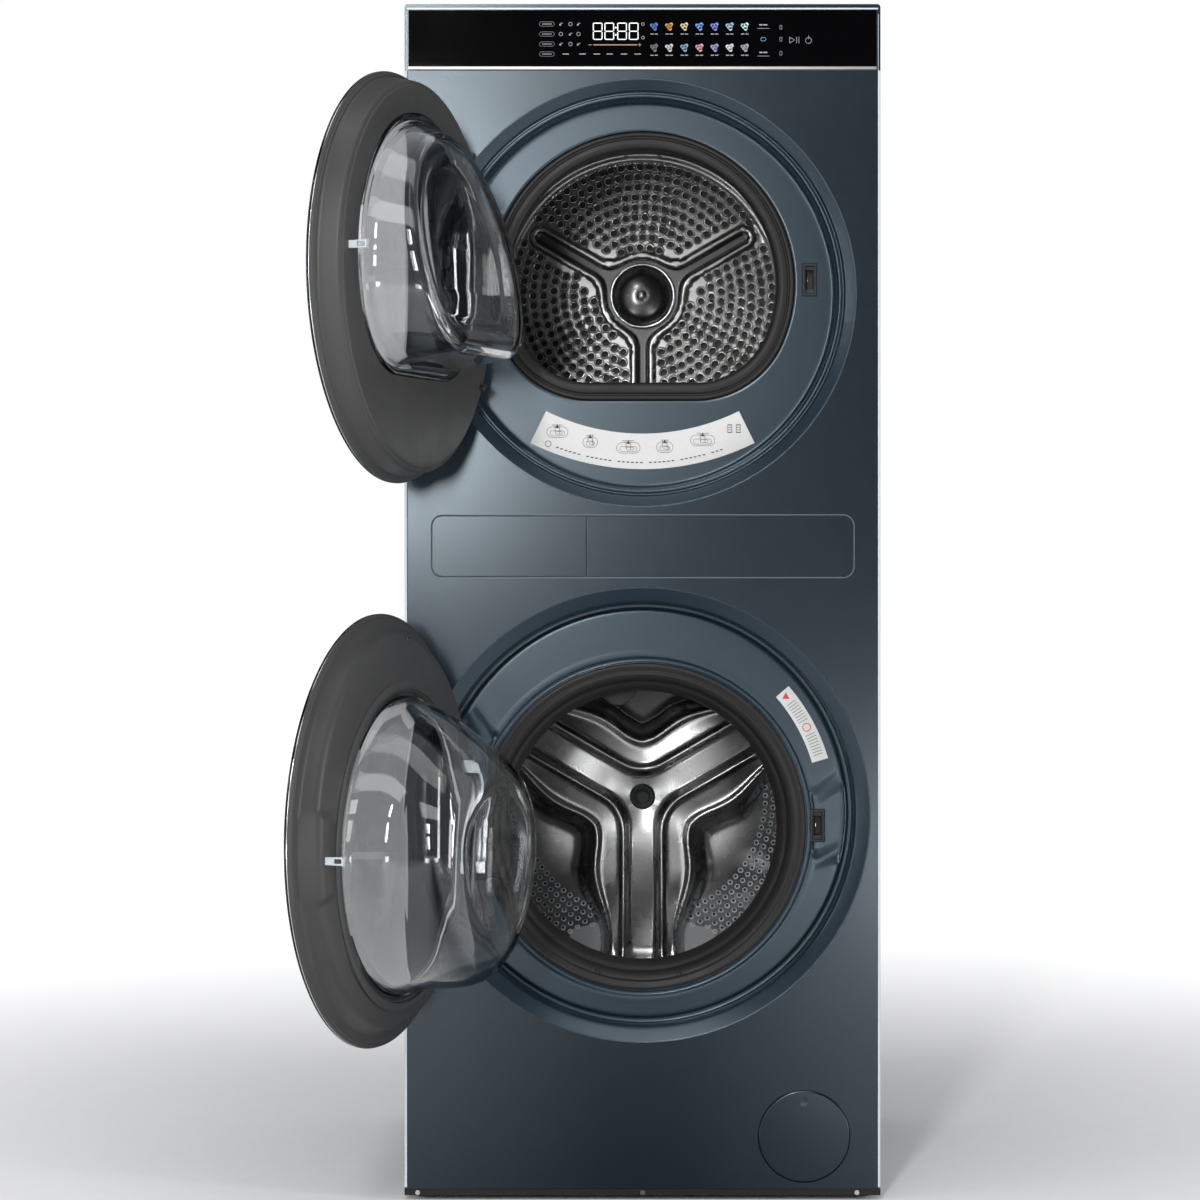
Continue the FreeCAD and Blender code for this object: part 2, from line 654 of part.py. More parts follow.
def drawer():
    split = "drawer_split"
    keep(drawer_outline(split + "+split_gap/2", "drawer_right", (1,), "split_gap",
                        "front_face", "3"), "fixed_fascia")
    keep(drawer_outline("drawer_left", split + "-split_gap/2", (0,), "split_gap",
                        "front_face", "12"), "drawer_front")
    low = "drawer_low+6"
    high = "drawer_high-8"
    left = "drawer_left+8"
    right = split + "-8"
    back = "front_face+drawer_depth"
    tray = span(left, right, "front_face+12", back, low, high)
    middle = "(%s+(%s))/2+20" % (left, right)
    wells = [span(left + "+2", middle + "-1", "front_face+16", back + "-3", low + "+2", high + "+1"),
             span(middle + "+1", right + "-2", "front_face+16", back + "-90",
                  low + "+2", high + "+1"),
             span(middle + "+1", right + "-2", back + "-88", back + "-3", low + "+12", high + "+1")]
    keep(cut(tray, *wells), "drawer_tray")
    shell = span(left + "-4", right + "+4", "front_face+13", back + "+24", low + "-4", high + "+5")
    inside = span(left + "-1", right + "+1", "front_face+12", back + "+20",
                  low + "-1", high + "+2")
    keep(cut(shell, inside), "drawer_housing")


# ---------------------------------------------------------------- rear connections

def rear_connections():
    valves = []
    for side in (0, 1):
        x = "inlet_x+%d*inlet_pitch" % side
        body = span(x + "-15", x + "+15", "255", "rear_face-steel-1", "inlet_z-20", "inlet_z+20")
        neck = rod(x, "rear_face-steel-2", "inlet_z", "inlet_radius-1", "steel+4")
        thread = rod(x, "rear_face+0.2", "inlet_z", "inlet_radius", "inlet_thread")
        bore = rod(x, "270", "inlet_z", "inlet_bore", "60")
        valves.append(cut(fuse(body, neck, thread), bore))
    keep(group(*valves), "inlet_valves")
    gland = fuse(rod("gland_x", "rear_face-8", "gland_z", "gland_radius", "20"),
                 rod("gland_x", "rear_face", "gland_z", "gland_radius+4", "3"))
    keep(cut(gland, rod("gland_x", "rear_face-10", "gland_z", "gland_bore", "30")), "cable_gland")
    spigot = fuse(rod("spigot_x", "rear_face-30", "spigot_z", "spigot_radius", "52"),
                  rod("spigot_x", "rear_face", "spigot_z", "spigot_radius+5", "3"))
    keep(cut(spigot, rod("spigot_x", "rear_face-31", "spigot_z", "spigot_radius-2.5", "60")),
         "drain_spigot")


# ---------------------------------------------------------------- doors

def hinge_fixed(hinge_x, centre, face):
    """Two lugs that carry the pin: each reaches right of it and then back to the ring."""
    parts = []
    for low, high in (("-lug_high", "-lug_low"), ("lug_low", "lug_high")):
        arm = span(hinge_x, hinge_x + "+26", "hinge_y-4.5", "hinge_y+4.5",
                   centre + low_sign(low), centre + low_sign(high))
        leg = span(hinge_x + "+18", hinge_x + "+26", "hinge_y", face + "-0.1",
                   centre + low_sign(low), centre + low_sign(high))
        eye = rod(hinge_x, "hinge_y", centre + low_sign(low), "4.5", "lug_high-lug_low", "z")
        bore = rod(hinge_x, "hinge_y", centre + "-100", "pin_bore", "200", "z")
        parts.append(cut(fuse(arm, leg, eye), bore))
    plate = span(hinge_x + "+18", hinge_x + "+26", face + "-3", face + "-0.1",
                 centre + "-lug_high", centre + "+lug_high")
    return fuse(*parts, plate)


def low_sign(text):
    """Join a size to a sum, with its sign."""
    return text if text.startswith("-") else "+" + text


def hinge_brackets():
    return keep(group(hinge_fixed("dryer_hinge_x", "dryer_centre", "dryer_face"),
                      hinge_fixed("washer_hinge_x", "washer_centre", "washer_face")),
                "hinge_brackets")


def hinge_leaf(hinge_x, centre):
    """The door's half of the hinge: knuckle, pin and a plate into the door."""
    knuckle = rod(hinge_x, "hinge_y", centre + "-53", "knuckle_radius", "106", "z")
    pin = rod(hinge_x, "hinge_y", centre + "-lug_high-2", "pin_radius", "2*lug_high+4", "z")
    plate = span(hinge_x, hinge_x + "+40", "hinge_y-4", "hinge_y-1",
                 centre + "-50", centre + "+50")
    return fuse(knuckle, pin, plate)


def hinge_notches(hinge_x, centre):
    """The room that the hinge needs in a door liner."""
    slots = [span(hinge_x + "-30", hinge_x + "+50", "hinge_y-6", "hinge_y+60",
                  centre + low, centre + high)
             for low, high in (("-lug_high-4", "-lug_low+4"), ("+lug_low-4", "+lug_high+4"))]
    slots.append(span(hinge_x + "-30", hinge_x + "+7", "hinge_y-6", "hinge_y+7",
                      centre + "-lug_low+3", centre + "+lug_low-3"))
    return slots


def hook(name):
    """The steel hook: a shank on a pivot, with a barb at its end."""
    x, z, face = LOCKS[name]
    shank = span(x + "-3", x + "+1", face + "-18", face + "+16", z + "-5", z + "+5")
    barb = span(x + "-3", x + "+5", face + "+12", face + "+16", z + "-5", z + "+5")
    eye = rod(x + "-1", face + "-18", z + "-5", "3.5", "10", "z")
    return fuse(shank, barb, eye)


def hook_slot(name):
    x, z, face = LOCKS[name]
    return span(x + "-9", x + "+9", face + "-30", face + "-2", z + "-9", z + "+9")


def opened(item, hinge_x):
    """Stand a door piece open, turned about its hinge pin."""
    swing = document.addObject("Part::Compound", "Opened")
    swing.Links = [item]
    pivot = Vector(size(hinge_x), size("hinge_y"), 0)
    turn = FreeCAD.Rotation(Vector(0, 0, 1), -size("door_angle"))
    swing.Placement = FreeCAD.Placement(Vector(), turn, pivot)
    return swing


def door_cover(centre, radius):
    """The domed outer pane."""
    return turned(centre, [
        ("0", "front_face-23"), (radius + "*0.6", "front_face-20"),
        (radius + "*0.88", "front_face-14.5"), (radius, "front_face-8"),
        (radius, "front_face-5"), (radius + "-6", "front_face-5"),
        (radius + "*0.88", "front_face-10.5"), (radius + "*0.6", "front_face-16"),
        ("0", "front_face-19")])


def dryer_door():
    radius = "dryer_door_radius"
    centre = "dryer_centre"
    hinge_x = "dryer_hinge_x"
    liner = turned(centre, [
        (radius + "-0.5", "front_face-4.7"), (radius + "-0.5", "front_face-0.5"),
        (radius + "-7", "front_face+1"), (radius + "-10", "front_face+4"),
        (radius + "-15", "front_face+24"), (radius + "-21", "front_face+30"),
        ("60", "front_face+30"), ("60", "front_face+27.5"), (radius + "-22.5", "front_face+27.5"),
        (radius + "-17.5", "front_face+22.5"), (radius + "-12.5", "front_face+3"),
        (radius + "-9", "front_face-2"), (radius + "-4", "front_face-4.7")])
    window = mouth_solid(4, size("front_face") + 20, 15)
    liner = cut(liner, window, hook_slot("dryer"), *hinge_notches(hinge_x, centre))
    leaf = hinge_leaf(hinge_x, centre)
    pieces = {
        "dryer_door_cover": door_cover(centre, radius),
        "dryer_door_liner": liner,
        "dryer_door_glass": dryer_glass(),
        "dryer_door_hinge": leaf,
        "dryer_door_hook": hook("dryer"),
    }
    for label, piece in pieces.items():
        keep(opened(piece, hinge_x), label)


def dryer_glass():
    """The wedge-shaped glass bowl, deeper at its foot, with a flange behind the liner."""
    face = size("front_face")
    stations = [(1, 27.3), (-4, 36), (-14, 75), (-24, 135)]

    def bowl(inset):
        wires = []
        for grow, depth in stations:
            reach = grow - inset
            wires.append(mouth_wire(size("mouth_radius") + reach, size("mouth_flat") + reach,
                                    size("mouth_corner") + reach, face + depth))
        return Part.makeLoft(wires, True, True)

    far = Part.makeBox(600, 200, 700, Vector(-300, face + 90, -350))
    far.rotate(Vector(0, face + 90, 40), Vector(1, 0, 0), 12)
    outer = bowl(0).cut(far)
    far.translate(Vector(0, -4, 0))
    inner = bowl(4).cut(far)
    flange_wire = mouth_wire(size("mouth_radius") + 10, size("mouth_flat") + 10,
                             size("mouth_corner") + 10, face + 23)
    flange = Part.Face(flange_wire).extrude(Vector(0, 4.3, 0))
    throat_wire = mouth_wire(size("mouth_radius") - 0.5, size("mouth_flat") - 0.5,
                             size("mouth_corner") - 0.5, face + 20)
    throat = Part.Face(throat_wire).extrude(Vector(0, 7.4, 0))
    item = document.addObject("Part::Feature", "Bowl")
    item.Shape = outer.cut(inner).fuse(flange.cut(throat)).removeSplitter()
    item.Placement.Base = Vector(0, 0, size("dryer_centre"))
    return item


def washer_door():
    radius = "washer_door_radius"
    centre = "washer_centre"
    hinge_x = "washer_hinge_x"
    liner = turned(centre, [
        (radius + "-0.5", "front_face-4.7"), (radius + "-0.5", "front_face-0.5"),
        (radius + "-14", "front_face+1.5"), (radius + "-24", "front_face+18"),
        (radius + "-44", "front_face+28"), (radius + "-50", "front_face+30"),
        ("130", "front_face+30"), ("130", "front_face+27.5"), (radius + "-51", "front_face+27.5"),
        (radius + "-46", "front_face+25"), (radius + "-26", "front_face+15"),
        (radius + "-16.5", "front_face-1.5"), (radius + "-4", "front_face-4.7")])
    window = rod("0", "front_face+20", "mouth_centre", "177", "30")
    liner = cut(liner, window, hook_slot("washer"), *hinge_notches(hinge_x, centre))
    glass = turned("mouth_centre", [
        ("182", "front_face+23"), ("182", "front_face+27.2"), ("176", "front_face+27.2"),
        ("172", "front_face+38"), ("162", "front_face+60"), ("152", "front_face+118"),
        ("128", "front_face+146"), ("0", "front_face+152"), ("0", "front_face+148"),
        ("126", "front_face+142"), ("148", "front_face+116"), ("158", "front_face+59"),
        ("168", "front_face+37"), ("172", "front_face+23")])
    pieces = {
        "washer_door_cover": door_cover(centre, radius),
        "washer_door_liner": liner,
        "washer_door_glass": glass,
        "washer_door_hinge": hinge_leaf(hinge_x, centre),
        "washer_door_hook": hook("washer"),
    }
    for label, piece in pieces.items():
        keep(opened(piece, hinge_x), label)


# ---------------------------------------------------------------- assembly and export

def build():
    fill_sheet()
    side_panel("side_panel_left", "-1")
    side_panel("side_panel_right", "1")
    front_panel()
    top_cover()
    rear_panel()
    base_frame()
    levelling_feet()
    cabinet_screws()
    control_panel()
    dryer_front_ring()
    washer_front_ring()
    door_locks()
    dryer_door_seal()
    washer_gasket()
    dryer_bulkheads()
    dryer_drum()
    drum_belt()
    dryer_drive()
    heat_pump()
    lint_filter()
    washer_drum()
    washer_tub()
    washer_motor()
    counterweights()
    suspension()
    drain_pump()
    service_cover()
    drawer()
    rear_connections()
    hinge_brackets()
    dryer_door()
    washer_door()
    document.recompute()


def check():
    """Stop if any object failed or any sub-part has no sound shape."""
    for item in document.Objects:
        if "Invalid" in item.State or "Error" in item.State:
            raise RuntimeError("%s (%s) failed: %s" % (item.Name, item.Label, item.State))
    for item in nodes:
        if item.Shape.isNull() or not item.Shape.isValid():
            raise RuntimeError("%s has no valid shape" % item.Label)


def export():
    os.makedirs("parts", exist_ok=True)
    for item in nodes:
        item.Shape.exportStep("parts/%s.step" % item.Label)
        volume = item.Shape.Volume / 1000.0
        print("%-22s %3d solids %9.1f cm3" % (item.Label, len(item.Shape.Solids), volume))
    print(len(nodes), "sub-parts")


build()
check()
export()
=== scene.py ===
import json
import math
import bmesh
import bpy
from mathutils import Matrix, Vector
from mathutils.geometry import delaunay_2d_cdt


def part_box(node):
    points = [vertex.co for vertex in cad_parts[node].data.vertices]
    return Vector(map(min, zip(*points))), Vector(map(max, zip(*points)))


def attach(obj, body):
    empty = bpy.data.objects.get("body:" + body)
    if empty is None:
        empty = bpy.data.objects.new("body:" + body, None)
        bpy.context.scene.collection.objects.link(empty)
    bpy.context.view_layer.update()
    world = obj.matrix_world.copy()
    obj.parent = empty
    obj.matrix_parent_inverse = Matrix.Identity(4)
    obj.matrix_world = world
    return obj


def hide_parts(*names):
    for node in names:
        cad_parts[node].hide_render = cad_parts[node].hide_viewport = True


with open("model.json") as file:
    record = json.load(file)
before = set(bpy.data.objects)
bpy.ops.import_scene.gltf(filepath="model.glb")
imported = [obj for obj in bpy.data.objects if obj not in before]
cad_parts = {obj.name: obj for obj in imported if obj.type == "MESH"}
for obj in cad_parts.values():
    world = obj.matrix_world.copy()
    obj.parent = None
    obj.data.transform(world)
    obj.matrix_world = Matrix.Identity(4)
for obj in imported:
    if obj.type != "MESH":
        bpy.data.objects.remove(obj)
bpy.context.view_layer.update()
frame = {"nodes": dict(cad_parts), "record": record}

# Shapes are worked out in millimetres, and become metres when their mesh is made.
MM = 0.001
TURN = 2 * math.pi
FINE = 360

nodes = frame["nodes"]
joints = {joint["name"]: joint for joint in frame["record"]["behaviour"]["joints"]}


def reach(node):
    """A CAD node's lowest and highest corners, in millimetres."""
    low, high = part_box(node)
    return low / MM, high / MM


# ---------------------------------------------------------------- places from the frame

FRONT = reach("front_panel")[0].y
low, high = reach("dryer_front_ring")
DRYER_Z = (low.z + high.z) / 2
DRYER_BEZEL = high.x - 8
DRYER_FACE = high.y - 2.5
low, high = reach("washer_front_ring")
WASHER_Z = (low.z + high.z) / 2
WASHER_BEZEL = high.x - 10
WASHER_FACE = high.y - 6.5
low, high = reach("washer_gasket")
MOUTH_Z = (low.z + high.z) / 2
MOUTH_R = high.x + 0.5
low, high = reach("dryer_door_seal")
SEAL_WIDTH = 23
D_RADIUS = high.x - SEAL_WIDTH
D_FLAT = DRYER_Z - low.z - SEAL_WIDTH - 6
D_RISE = high.z - DRYER_Z - high.x
D_CORNER = 95
DRYER_LATCH = (210.6, DRYER_Z + 19.6, DRYER_FACE)
WASHER_LATCH = (reach("door_locks")[1].x - 16, WASHER_Z - 15.9, WASHER_FACE)
DRYER_AXIS = joints["dryer_drum_spin"]["pos_m"][2] / MM
WASHER_AXIS = joints["washer_drum_spin"]["pos_m"][2] / MM
DRYER_BACK = reach("dryer_drum_shell")[1].y
DRYER_DRUM_R = reach("dryer_drum_shell")[1].x
WASHER_BACK = reach("washer_drum_shell")[1].y
WASHER_DRUM_R = reach("washer_drum_shell")[1].x
low, high = reach("dryer_door_cover")
DRYER_DOOR_R = (high.z - low.z) / 2
low, high = reach("washer_door_cover")
WASHER_DOOR_R = (high.z - low.z) / 2


def opened(name):
    """How a door built closed turns to stand open, as it does at rest."""
    hinge = joints[name]
    pin = Vector(hinge["pos_m"]) / MM
    turn = Matrix.Rotation(-math.radians(hinge["range_deg"][0]), 4, Vector(hinge["axis"]))
    return Matrix.Translation(pin) @ turn @ Matrix.Translation(-pin)


STILL = Matrix.Identity(4)
SWUNG = {
    "dryer_door": opened("dryer_door_hinge"),
    "washer_door": opened("washer_door_hinge"),
}
SWUNG["dryer_hook"] = SWUNG["dryer_door"]
SWUNG["washer_hook"] = SWUNG["washer_door"]


# ---------------------------------------------------------------- outlines and meshes

def circle(radius, y, z, x=0.0, count=FINE):
    return [(x + radius * math.cos(TURN * i / count), y, z + radius * math.sin(TURN * i / count))
            for i in range(count)]


def mouth_distance(angle, grow):
    """How far the D-shaped mouth, larger by grow, lies from the ring's centre at an angle."""
    ray = Vector((math.cos(angle), math.sin(angle)))
    drop = D_CORNER - D_FLAT - D_RISE
    side = math.sqrt((D_RADIUS - D_CORNER) ** 2 - drop ** 2)
    if ray.y < 0:
        along = (D_FLAT + grow) / -ray.y
        if abs(along * ray.x) <= side:
            return along

    def hit(centre, radius):
        near = ray.dot(centre)
        return near + math.sqrt(radius ** 2 - centre.length_squared + near ** 2)

    along = hit(Vector((0, D_RISE)), D_RADIUS + grow)
    point = ray * along - Vector((0, D_RISE))
    if math.atan2(point.y, abs(point.x)) >= math.atan2(drop, side):
        return along
    return hit(Vector((math.copysign(side, ray.x), D_CORNER - D_FLAT)), D_CORNER + grow)


def mouth(grow, y):
    """The dryer mouth's outline; y is a number or a function of height above the centre."""
    points = []
    for i in range(FINE):
        angle = TURN * i / FINE
        along = mouth_distance(angle, grow)
        rise = along * math.sin(angle)
        depth = y(rise) if callable(y) else y
        points.append((along * math.cos(angle), depth, DRYER_Z + rise))
    return points


def soften(profile, steps=4):
    """Round a profile's corners: each is (radius, y), or (radius, y, rounding)."""
    points = []
    for index, corner in enumerate(profile):
        here = Vector(corner[:2])
        if len(corner) < 3:
            points.append(tuple(here))
            continue
        before = Vector(profile[index - 1][:2]) - here
        after = Vector(profile[(index + 1) % len(profile)][:2]) - here
        start = here + before * min(0.45, corner[2] / before.length)
        end = here + after * min(0.45, corner[2] / after.length)
        for turn in range(steps + 1):
            share = turn / steps
            points.append(tuple(start.lerp(here, share).lerp(here.lerp(end, share), share)))
    return points


def set_off(corners, radius, y):
    """Place a profile whose corners are given from one radius and one y."""
    return [(radius + corner[0], y + corner[1], *corner[2:]) for corner in corners]


def skin(rows, wrap=False, caps=False):
    """Quads between rows that hold the same number of points."""
    count = len(rows[0])
    points = [point for row in rows for point in row]
    pairs = [(row, row + 1) for row in range(len(rows) - 1)]
    if wrap:
        pairs.append((len(rows) - 1, 0))
    faces = []
    for first, second in pairs:
        for i in range(count):
            j = (i + 1) % count
            faces.append((first * count + i, first * count + j,
                          second * count + j, second * count + i))
    if caps:
        faces.append(tuple(range(count)))
        faces.append(tuple((len(rows) - 1) * count + i for i in range(count)))
    return points, faces


def lathe(profile, z, x=0.0, count=FINE):
    """A profile turned about a line along Y."""
    return skin([circle(radius, y, z, x, count) for radius, y in soften(profile)], wrap=True)


def bar(low, high):
    """A box between two corners."""
    points = [(x, y, z) for x in (low[0], high[0]) for y in (low[1], high[1])
              for z in (low[2], high[2])]
    faces = [(0, 1, 3, 2), (4, 6, 7, 5), (0, 4, 5, 1), (2, 3, 7, 6), (0, 2, 6, 4), (1, 5, 7, 3)]
    return points, faces


def plate(outline, y_low, y_high):
    """A flat outline in X and Z with a thickness along Y."""
    return skin([[(x, y, z) for x, z in outline] for y in (y_low, y_high)], caps=True)


def merge(*meshes):
    points = []
    faces = []
    for more_points, more_faces in meshes:
        base = len(points)
        points += more_points
        faces += [tuple(base + index for index in face) for face in more_faces]
    return points, faces


def piece(name, mesh_parts, finish, body, stands_for=(), sharp=32, bevel=0.0):
    """Make a mesh piece in place, give it its finish, and tie it to its body."""
    points, faces = mesh_parts
    swing = SWUNG.get(body, STILL)
    mesh = bpy.data.meshes.new(name)
    mesh.from_pydata([(swing @ Vector(point)) * MM for point in points], [], faces)
    work = bmesh.new()
    work.from_mesh(mesh)
    bmesh.ops.remove_doubles(work, verts=work.verts, dist=0.00001)
    bmesh.ops.recalc_face_normals(work, faces=work.faces)
    work.to_mesh(mesh)
    work.free()
    mesh.shade_smooth()
    mesh.set_sharp_from_angle(angle=math.radians(sharp))
    mesh.materials.append(FINISHES[finish])
    item = bpy.data.objects.new(name, mesh)
    bpy.context.collection.objects.link(item)
    if bevel:
        add_bevel(item, bevel)
    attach(item, body)
    if stands_for:
        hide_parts(*stands_for)
    return item


def add_bevel(item, width):
    """Round an object's hard edges without touching its mesh."""
    rounding = item.modifiers.new("rounded", "BEVEL")
    rounding.width = width * MM
    rounding.segments = 2
    rounding.limit_method = "ANGLE"
    rounding.angle_limit = math.radians(35)
    rounding.harden_normals = True


# ---------------------------------------------------------------- materials

def add_node(tree, kind, operation=None, values=(), links=()):
    """Make a shader node, from (input, value) pairs and (input, socket) pairs."""
    item = tree.nodes.new("ShaderNode" + kind)
    if operation:
        item.operation = operation
    for key, value in values:
        item.inputs[key].default_value = value
    for key, socket in links:
        tree.links.new(socket, item.inputs[key])
    return item


def map_range(tree, source, span, onto, smooth=False):
    """Turn one span of values into another."""
    names = ("From Min", "From Max", "To Min", "To Max")
    item = add_node(tree, "MapRange", None, zip(names, (*span, *onto)), [("Value", source)])
    if smooth:
        item.interpolation_type = "SMOOTHSTEP"
    return item.outputs["Result"]


def shaded(name, colour, roughness, metallic=0.0, grain=300.0, mottle=0.08, spread=0.06,
           bump=0.1, relief=0.00005, stretch=(1, 1, 1), **sockets):
    """A material whose colour, gloss and surface vary a little, as on the real thing."""
    finish = bpy.data.materials.new(name)
    finish.use_nodes = True
    tree = finish.node_tree
    shader = tree.nodes["Principled BSDF"]
    shader.inputs["Metallic"].default_value = metallic
    for socket, value in sockets.items():
        shader.inputs[socket.replace("_", " ")].default_value = value
    place = add_node(tree, "TexCoord")
    scale = add_node(tree, "Mapping", None, [("Scale", stretch)],
                     [("Vector", place.outputs["Object"])])

    def noise(size, detail):
        return add_node(tree, "TexNoise", None, [("Scale", size), ("Detail", detail)],
                        [("Vector", scale.outputs["Vector"])]).outputs["Fac"]

    fine = noise(grain, 3.0)
    broad = noise(grain / 40, 2.0)
    blend = tree.nodes.new("ShaderNodeMix")
    blend.data_type = "RGBA"
    blend.inputs["A"].default_value = (*[part * (1 - mottle) for part in colour], 1)
    blend.inputs["B"].default_value = (*[min(1, part * (1 + mottle)) for part in colour], 1)
    tree.links.new(map_range(tree, fine, (0.3, 0.7), (0, 1)), blend.inputs["Factor"])
    tree.links.new(blend.outputs["Result"], shader.inputs["Base Color"])
    gloss = map_range(tree, broad, (0.3, 0.7), (max(0, roughness - spread), roughness + spread))
    tree.links.new(gloss, shader.inputs["Roughness"])
    ripple = add_node(tree, "Bump", None, [("Strength", bump), ("Distance", relief)],
                      [("Height", fine)])
    tree.links.new(ripple.outputs["Normal"], shader.inputs["Normal"])
    return finish


def glow(finish, colour, strength):
    """Let a finish shine a little by itself."""
    shader = finish.node_tree.nodes["Principled BSDF"]
    shader.inputs["Emission Color"].default_value = (*colour, 1)
    shader.inputs["Emission Strength"].default_value = strength


BRUSHED = dict(metallic=1.0, grain=900, mottle=0.10, bump=0.12)

# One finish for each of the record's slots, then a few more for small details.
PAINTS = {
    "body_blue": dict(colour=(0.004, 0.010, 0.0165), roughness=0.21, metallic=0.1, grain=2600,
                      mottle=0.12, spread=0.006, bump=0.003, Specular_IOR_Level=0.78,
                      Specular_Tint=(0.80, 0.92, 1.0, 1)),
    "ring_blue": dict(colour=(0.012, 0.024, 0.036), roughness=0.26, metallic=0.1, grain=1800,
                      mottle=0.08, spread=0.006, bump=0.004, Specular_IOR_Level=0.7,
                      Specular_Tint=(0.80, 0.92, 1.0, 1)),
    "black_glass": dict(colour=(0.001, 0.001, 0.0013), roughness=0.05, grain=200, spread=0.02,
                        bump=0.003, Specular_IOR_Level=0.12),
    "champagne_trim": dict(colour=(0.36, 0.35, 0.33), roughness=0.34, metallic=1.0, grain=700,
                           stretch=(0.05, 1, 1)),
    "charcoal_plastic": dict(colour=(0.050, 0.050, 0.050), roughness=0.40, grain=900, mottle=0.10,
                             bump=0.2, Specular_IOR_Level=0.35),
    "smoked_glass": dict(colour=(0.60, 0.60, 0.60), roughness=0.03, grain=60, mottle=0.03,
                         spread=0.02, bump=0.01, Transmission_Weight=1.0, IOR=1.45),
    "clear_glass": dict(colour=(0.93, 0.945, 0.95), roughness=0.015, grain=40, mottle=0.02,
                        spread=0.015, bump=0.015, Transmission_Weight=1.0, IOR=1.47),
    "dark_rubber": dict(colour=(0.019, 0.018, 0.0175), roughness=0.45, grain=700, mottle=0.12,
                        bump=0.15, Specular_IOR_Level=0.22),
    "drum_steel": dict(colour=(0.38, 0.38, 0.38), roughness=0.27, spread=0.04, **BRUSHED),
    "back_steel": dict(colour=(0.30, 0.295, 0.29), roughness=0.32, spread=0.05, **BRUSHED),
    # Near-black steel: painted shade and painted dark reflection, on the dryer's arm channels and the
    # washer drum's top field.
    "painted_shade_steel": dict(colour=(0.07, 0.07, 0.07), roughness=0.35, spread=0.05, **BRUSHED),
    "galvanised_steel": dict(colour=(0.46, 0.48, 0.49), roughness=0.42, spread=0.12, metallic=0.9,
                             grain=140, mottle=0.18, bump=0.1),
    "black_plastic": dict(colour=(0.009, 0.009, 0.010), roughness=0.45, grain=900, mottle=0.15,
                          bump=0.2, Specular_IOR_Level=0.3),
    "grey_plastic": dict(colour=(0.30, 0.31, 0.32), roughness=0.50, grain=900, bump=0.25),
    "white_plastic": dict(colour=(0.74, 0.75, 0.75), roughness=0.38, grain=900, bump=0.2),
    "cast_iron": dict(colour=(0.07, 0.07, 0.075), roughness=0.75, grain=260, mottle=0.3, bump=0.6,
                      relief=0.0004),
    "bright_steel": dict(colour=(0.78, 0.79, 0.80), roughness=0.16, metallic=1.0, grain=1200,
                         spread=0.05, stretch=(1, 1, 0.08)),
    "coil_copper": dict(colour=(0.62, 0.26, 0.12), roughness=0.35, metallic=0.9, grain=500,
                        mottle=0.25, bump=0.5, relief=0.0004, stretch=(0.2, 1, 1)),
    "fin_aluminium": dict(colour=(0.62, 0.63, 0.64), roughness=0.38, metallic=1.0, grain=420,
                          mottle=0.2, bump=0.5, relief=0.0004, stretch=(1, 0.1, 0.1)),
    "black_rubber": dict(colour=(0.018, 0.018, 0.018), roughness=0.62, grain=500, mottle=0.2,
                         bump=0.3),
    # Light diffuse paint for painted highlights: the rounded front corners, the top edge line, the
    # washer's hole rims and the hooks' sheen.
    "painted_highlight_line": dict(colour=(0.55, 0.61, 0.65), roughness=0.35, grain=700, mottle=0.06, bump=0.05),
    # Painted highlight along the drawer seam's outer edge.
    "seam_painted_highlight": dict(colour=(0.10, 0.15, 0.20), roughness=0.4, grain=700, mottle=0.06),
    # Near-black for real dark gaps and the locks, and for painted shade behind the drums' holes.
    "dark_gap_and_painted_shade": dict(colour=(0.006, 0.008, 0.010), roughness=0.55, grain=500, mottle=0.2),
    "dark_hub": dict(colour=(0.010, 0.010, 0.010), roughness=0.20, grain=500, spread=0.03,
                     bump=0.03, Specular_IOR_Level=1.0),
    "paper": dict(colour=(0.60, 0.60, 0.595), roughness=0.55, grain=500, mottle=0.03, bump=0.2),
    "ink": dict(colour=(0.03, 0.03, 0.03), roughness=0.6, grain=900, mottle=0.2),
    "red_ink": dict(colour=(0.55, 0.05, 0.05), roughness=0.6, grain=900, mottle=0.15),
    "mark_white": dict(colour=(0.7, 0.72, 0.72), roughness=0.5, grain=900),
    "mark_gold": dict(colour=(0.34, 0.22, 0.12), roughness=0.5, grain=900),
    "mark_grey": dict(colour=(0.14, 0.145, 0.15), roughness=0.5, grain=900),
    "mark_soft": dict(colour=(0.28, 0.29, 0.30), roughness=0.5, grain=900),
    "mark_blue": dict(colour=(0.08, 0.22, 0.34), roughness=0.5, grain=900),
}


# ---------------------------------------------------------------- camera, lights and floor

def add_camera():
    """A long lens in front of the machine, a little above its middle."""
    data = bpy.data.cameras.new("camera")
    data.lens = 94.8
    data.sensor_width = 36.0
    data.shift_x = -0.0354
    data.shift_y = -0.0333
    camera = bpy.data.objects.new("camera", data)
    camera.location = (0.0, -4.25, 0.80)
    camera.rotation_euler = (math.radians(90), 0, 0)
    bpy.context.collection.objects.link(camera)
    bpy.context.scene.camera = camera


def area_light(name, place, aim, size, power):
    data = bpy.data.lights.new(name, "AREA")
    data.shape = "RECTANGLE"
    data.size, data.size_y = size
    data.energy = power
    light = bpy.data.objects.new(name, data)
    light.location = place
    light.rotation_euler = (Vector(aim) - Vector(place)).to_track_quat("-Z", "Y").to_euler()
    bpy.context.collection.objects.link(light)


def straight_rays(tree, rays):
    """1 for what the eye sees directly or through glass, 0 for light and reflections."""
    either = add_node(tree, "Math", "MAXIMUM", (), [(0, rays.outputs["Is Camera Ray"]),
                                                    (1, rays.outputs["Is Transmission Ray"])])
    return either.outputs["Value"]


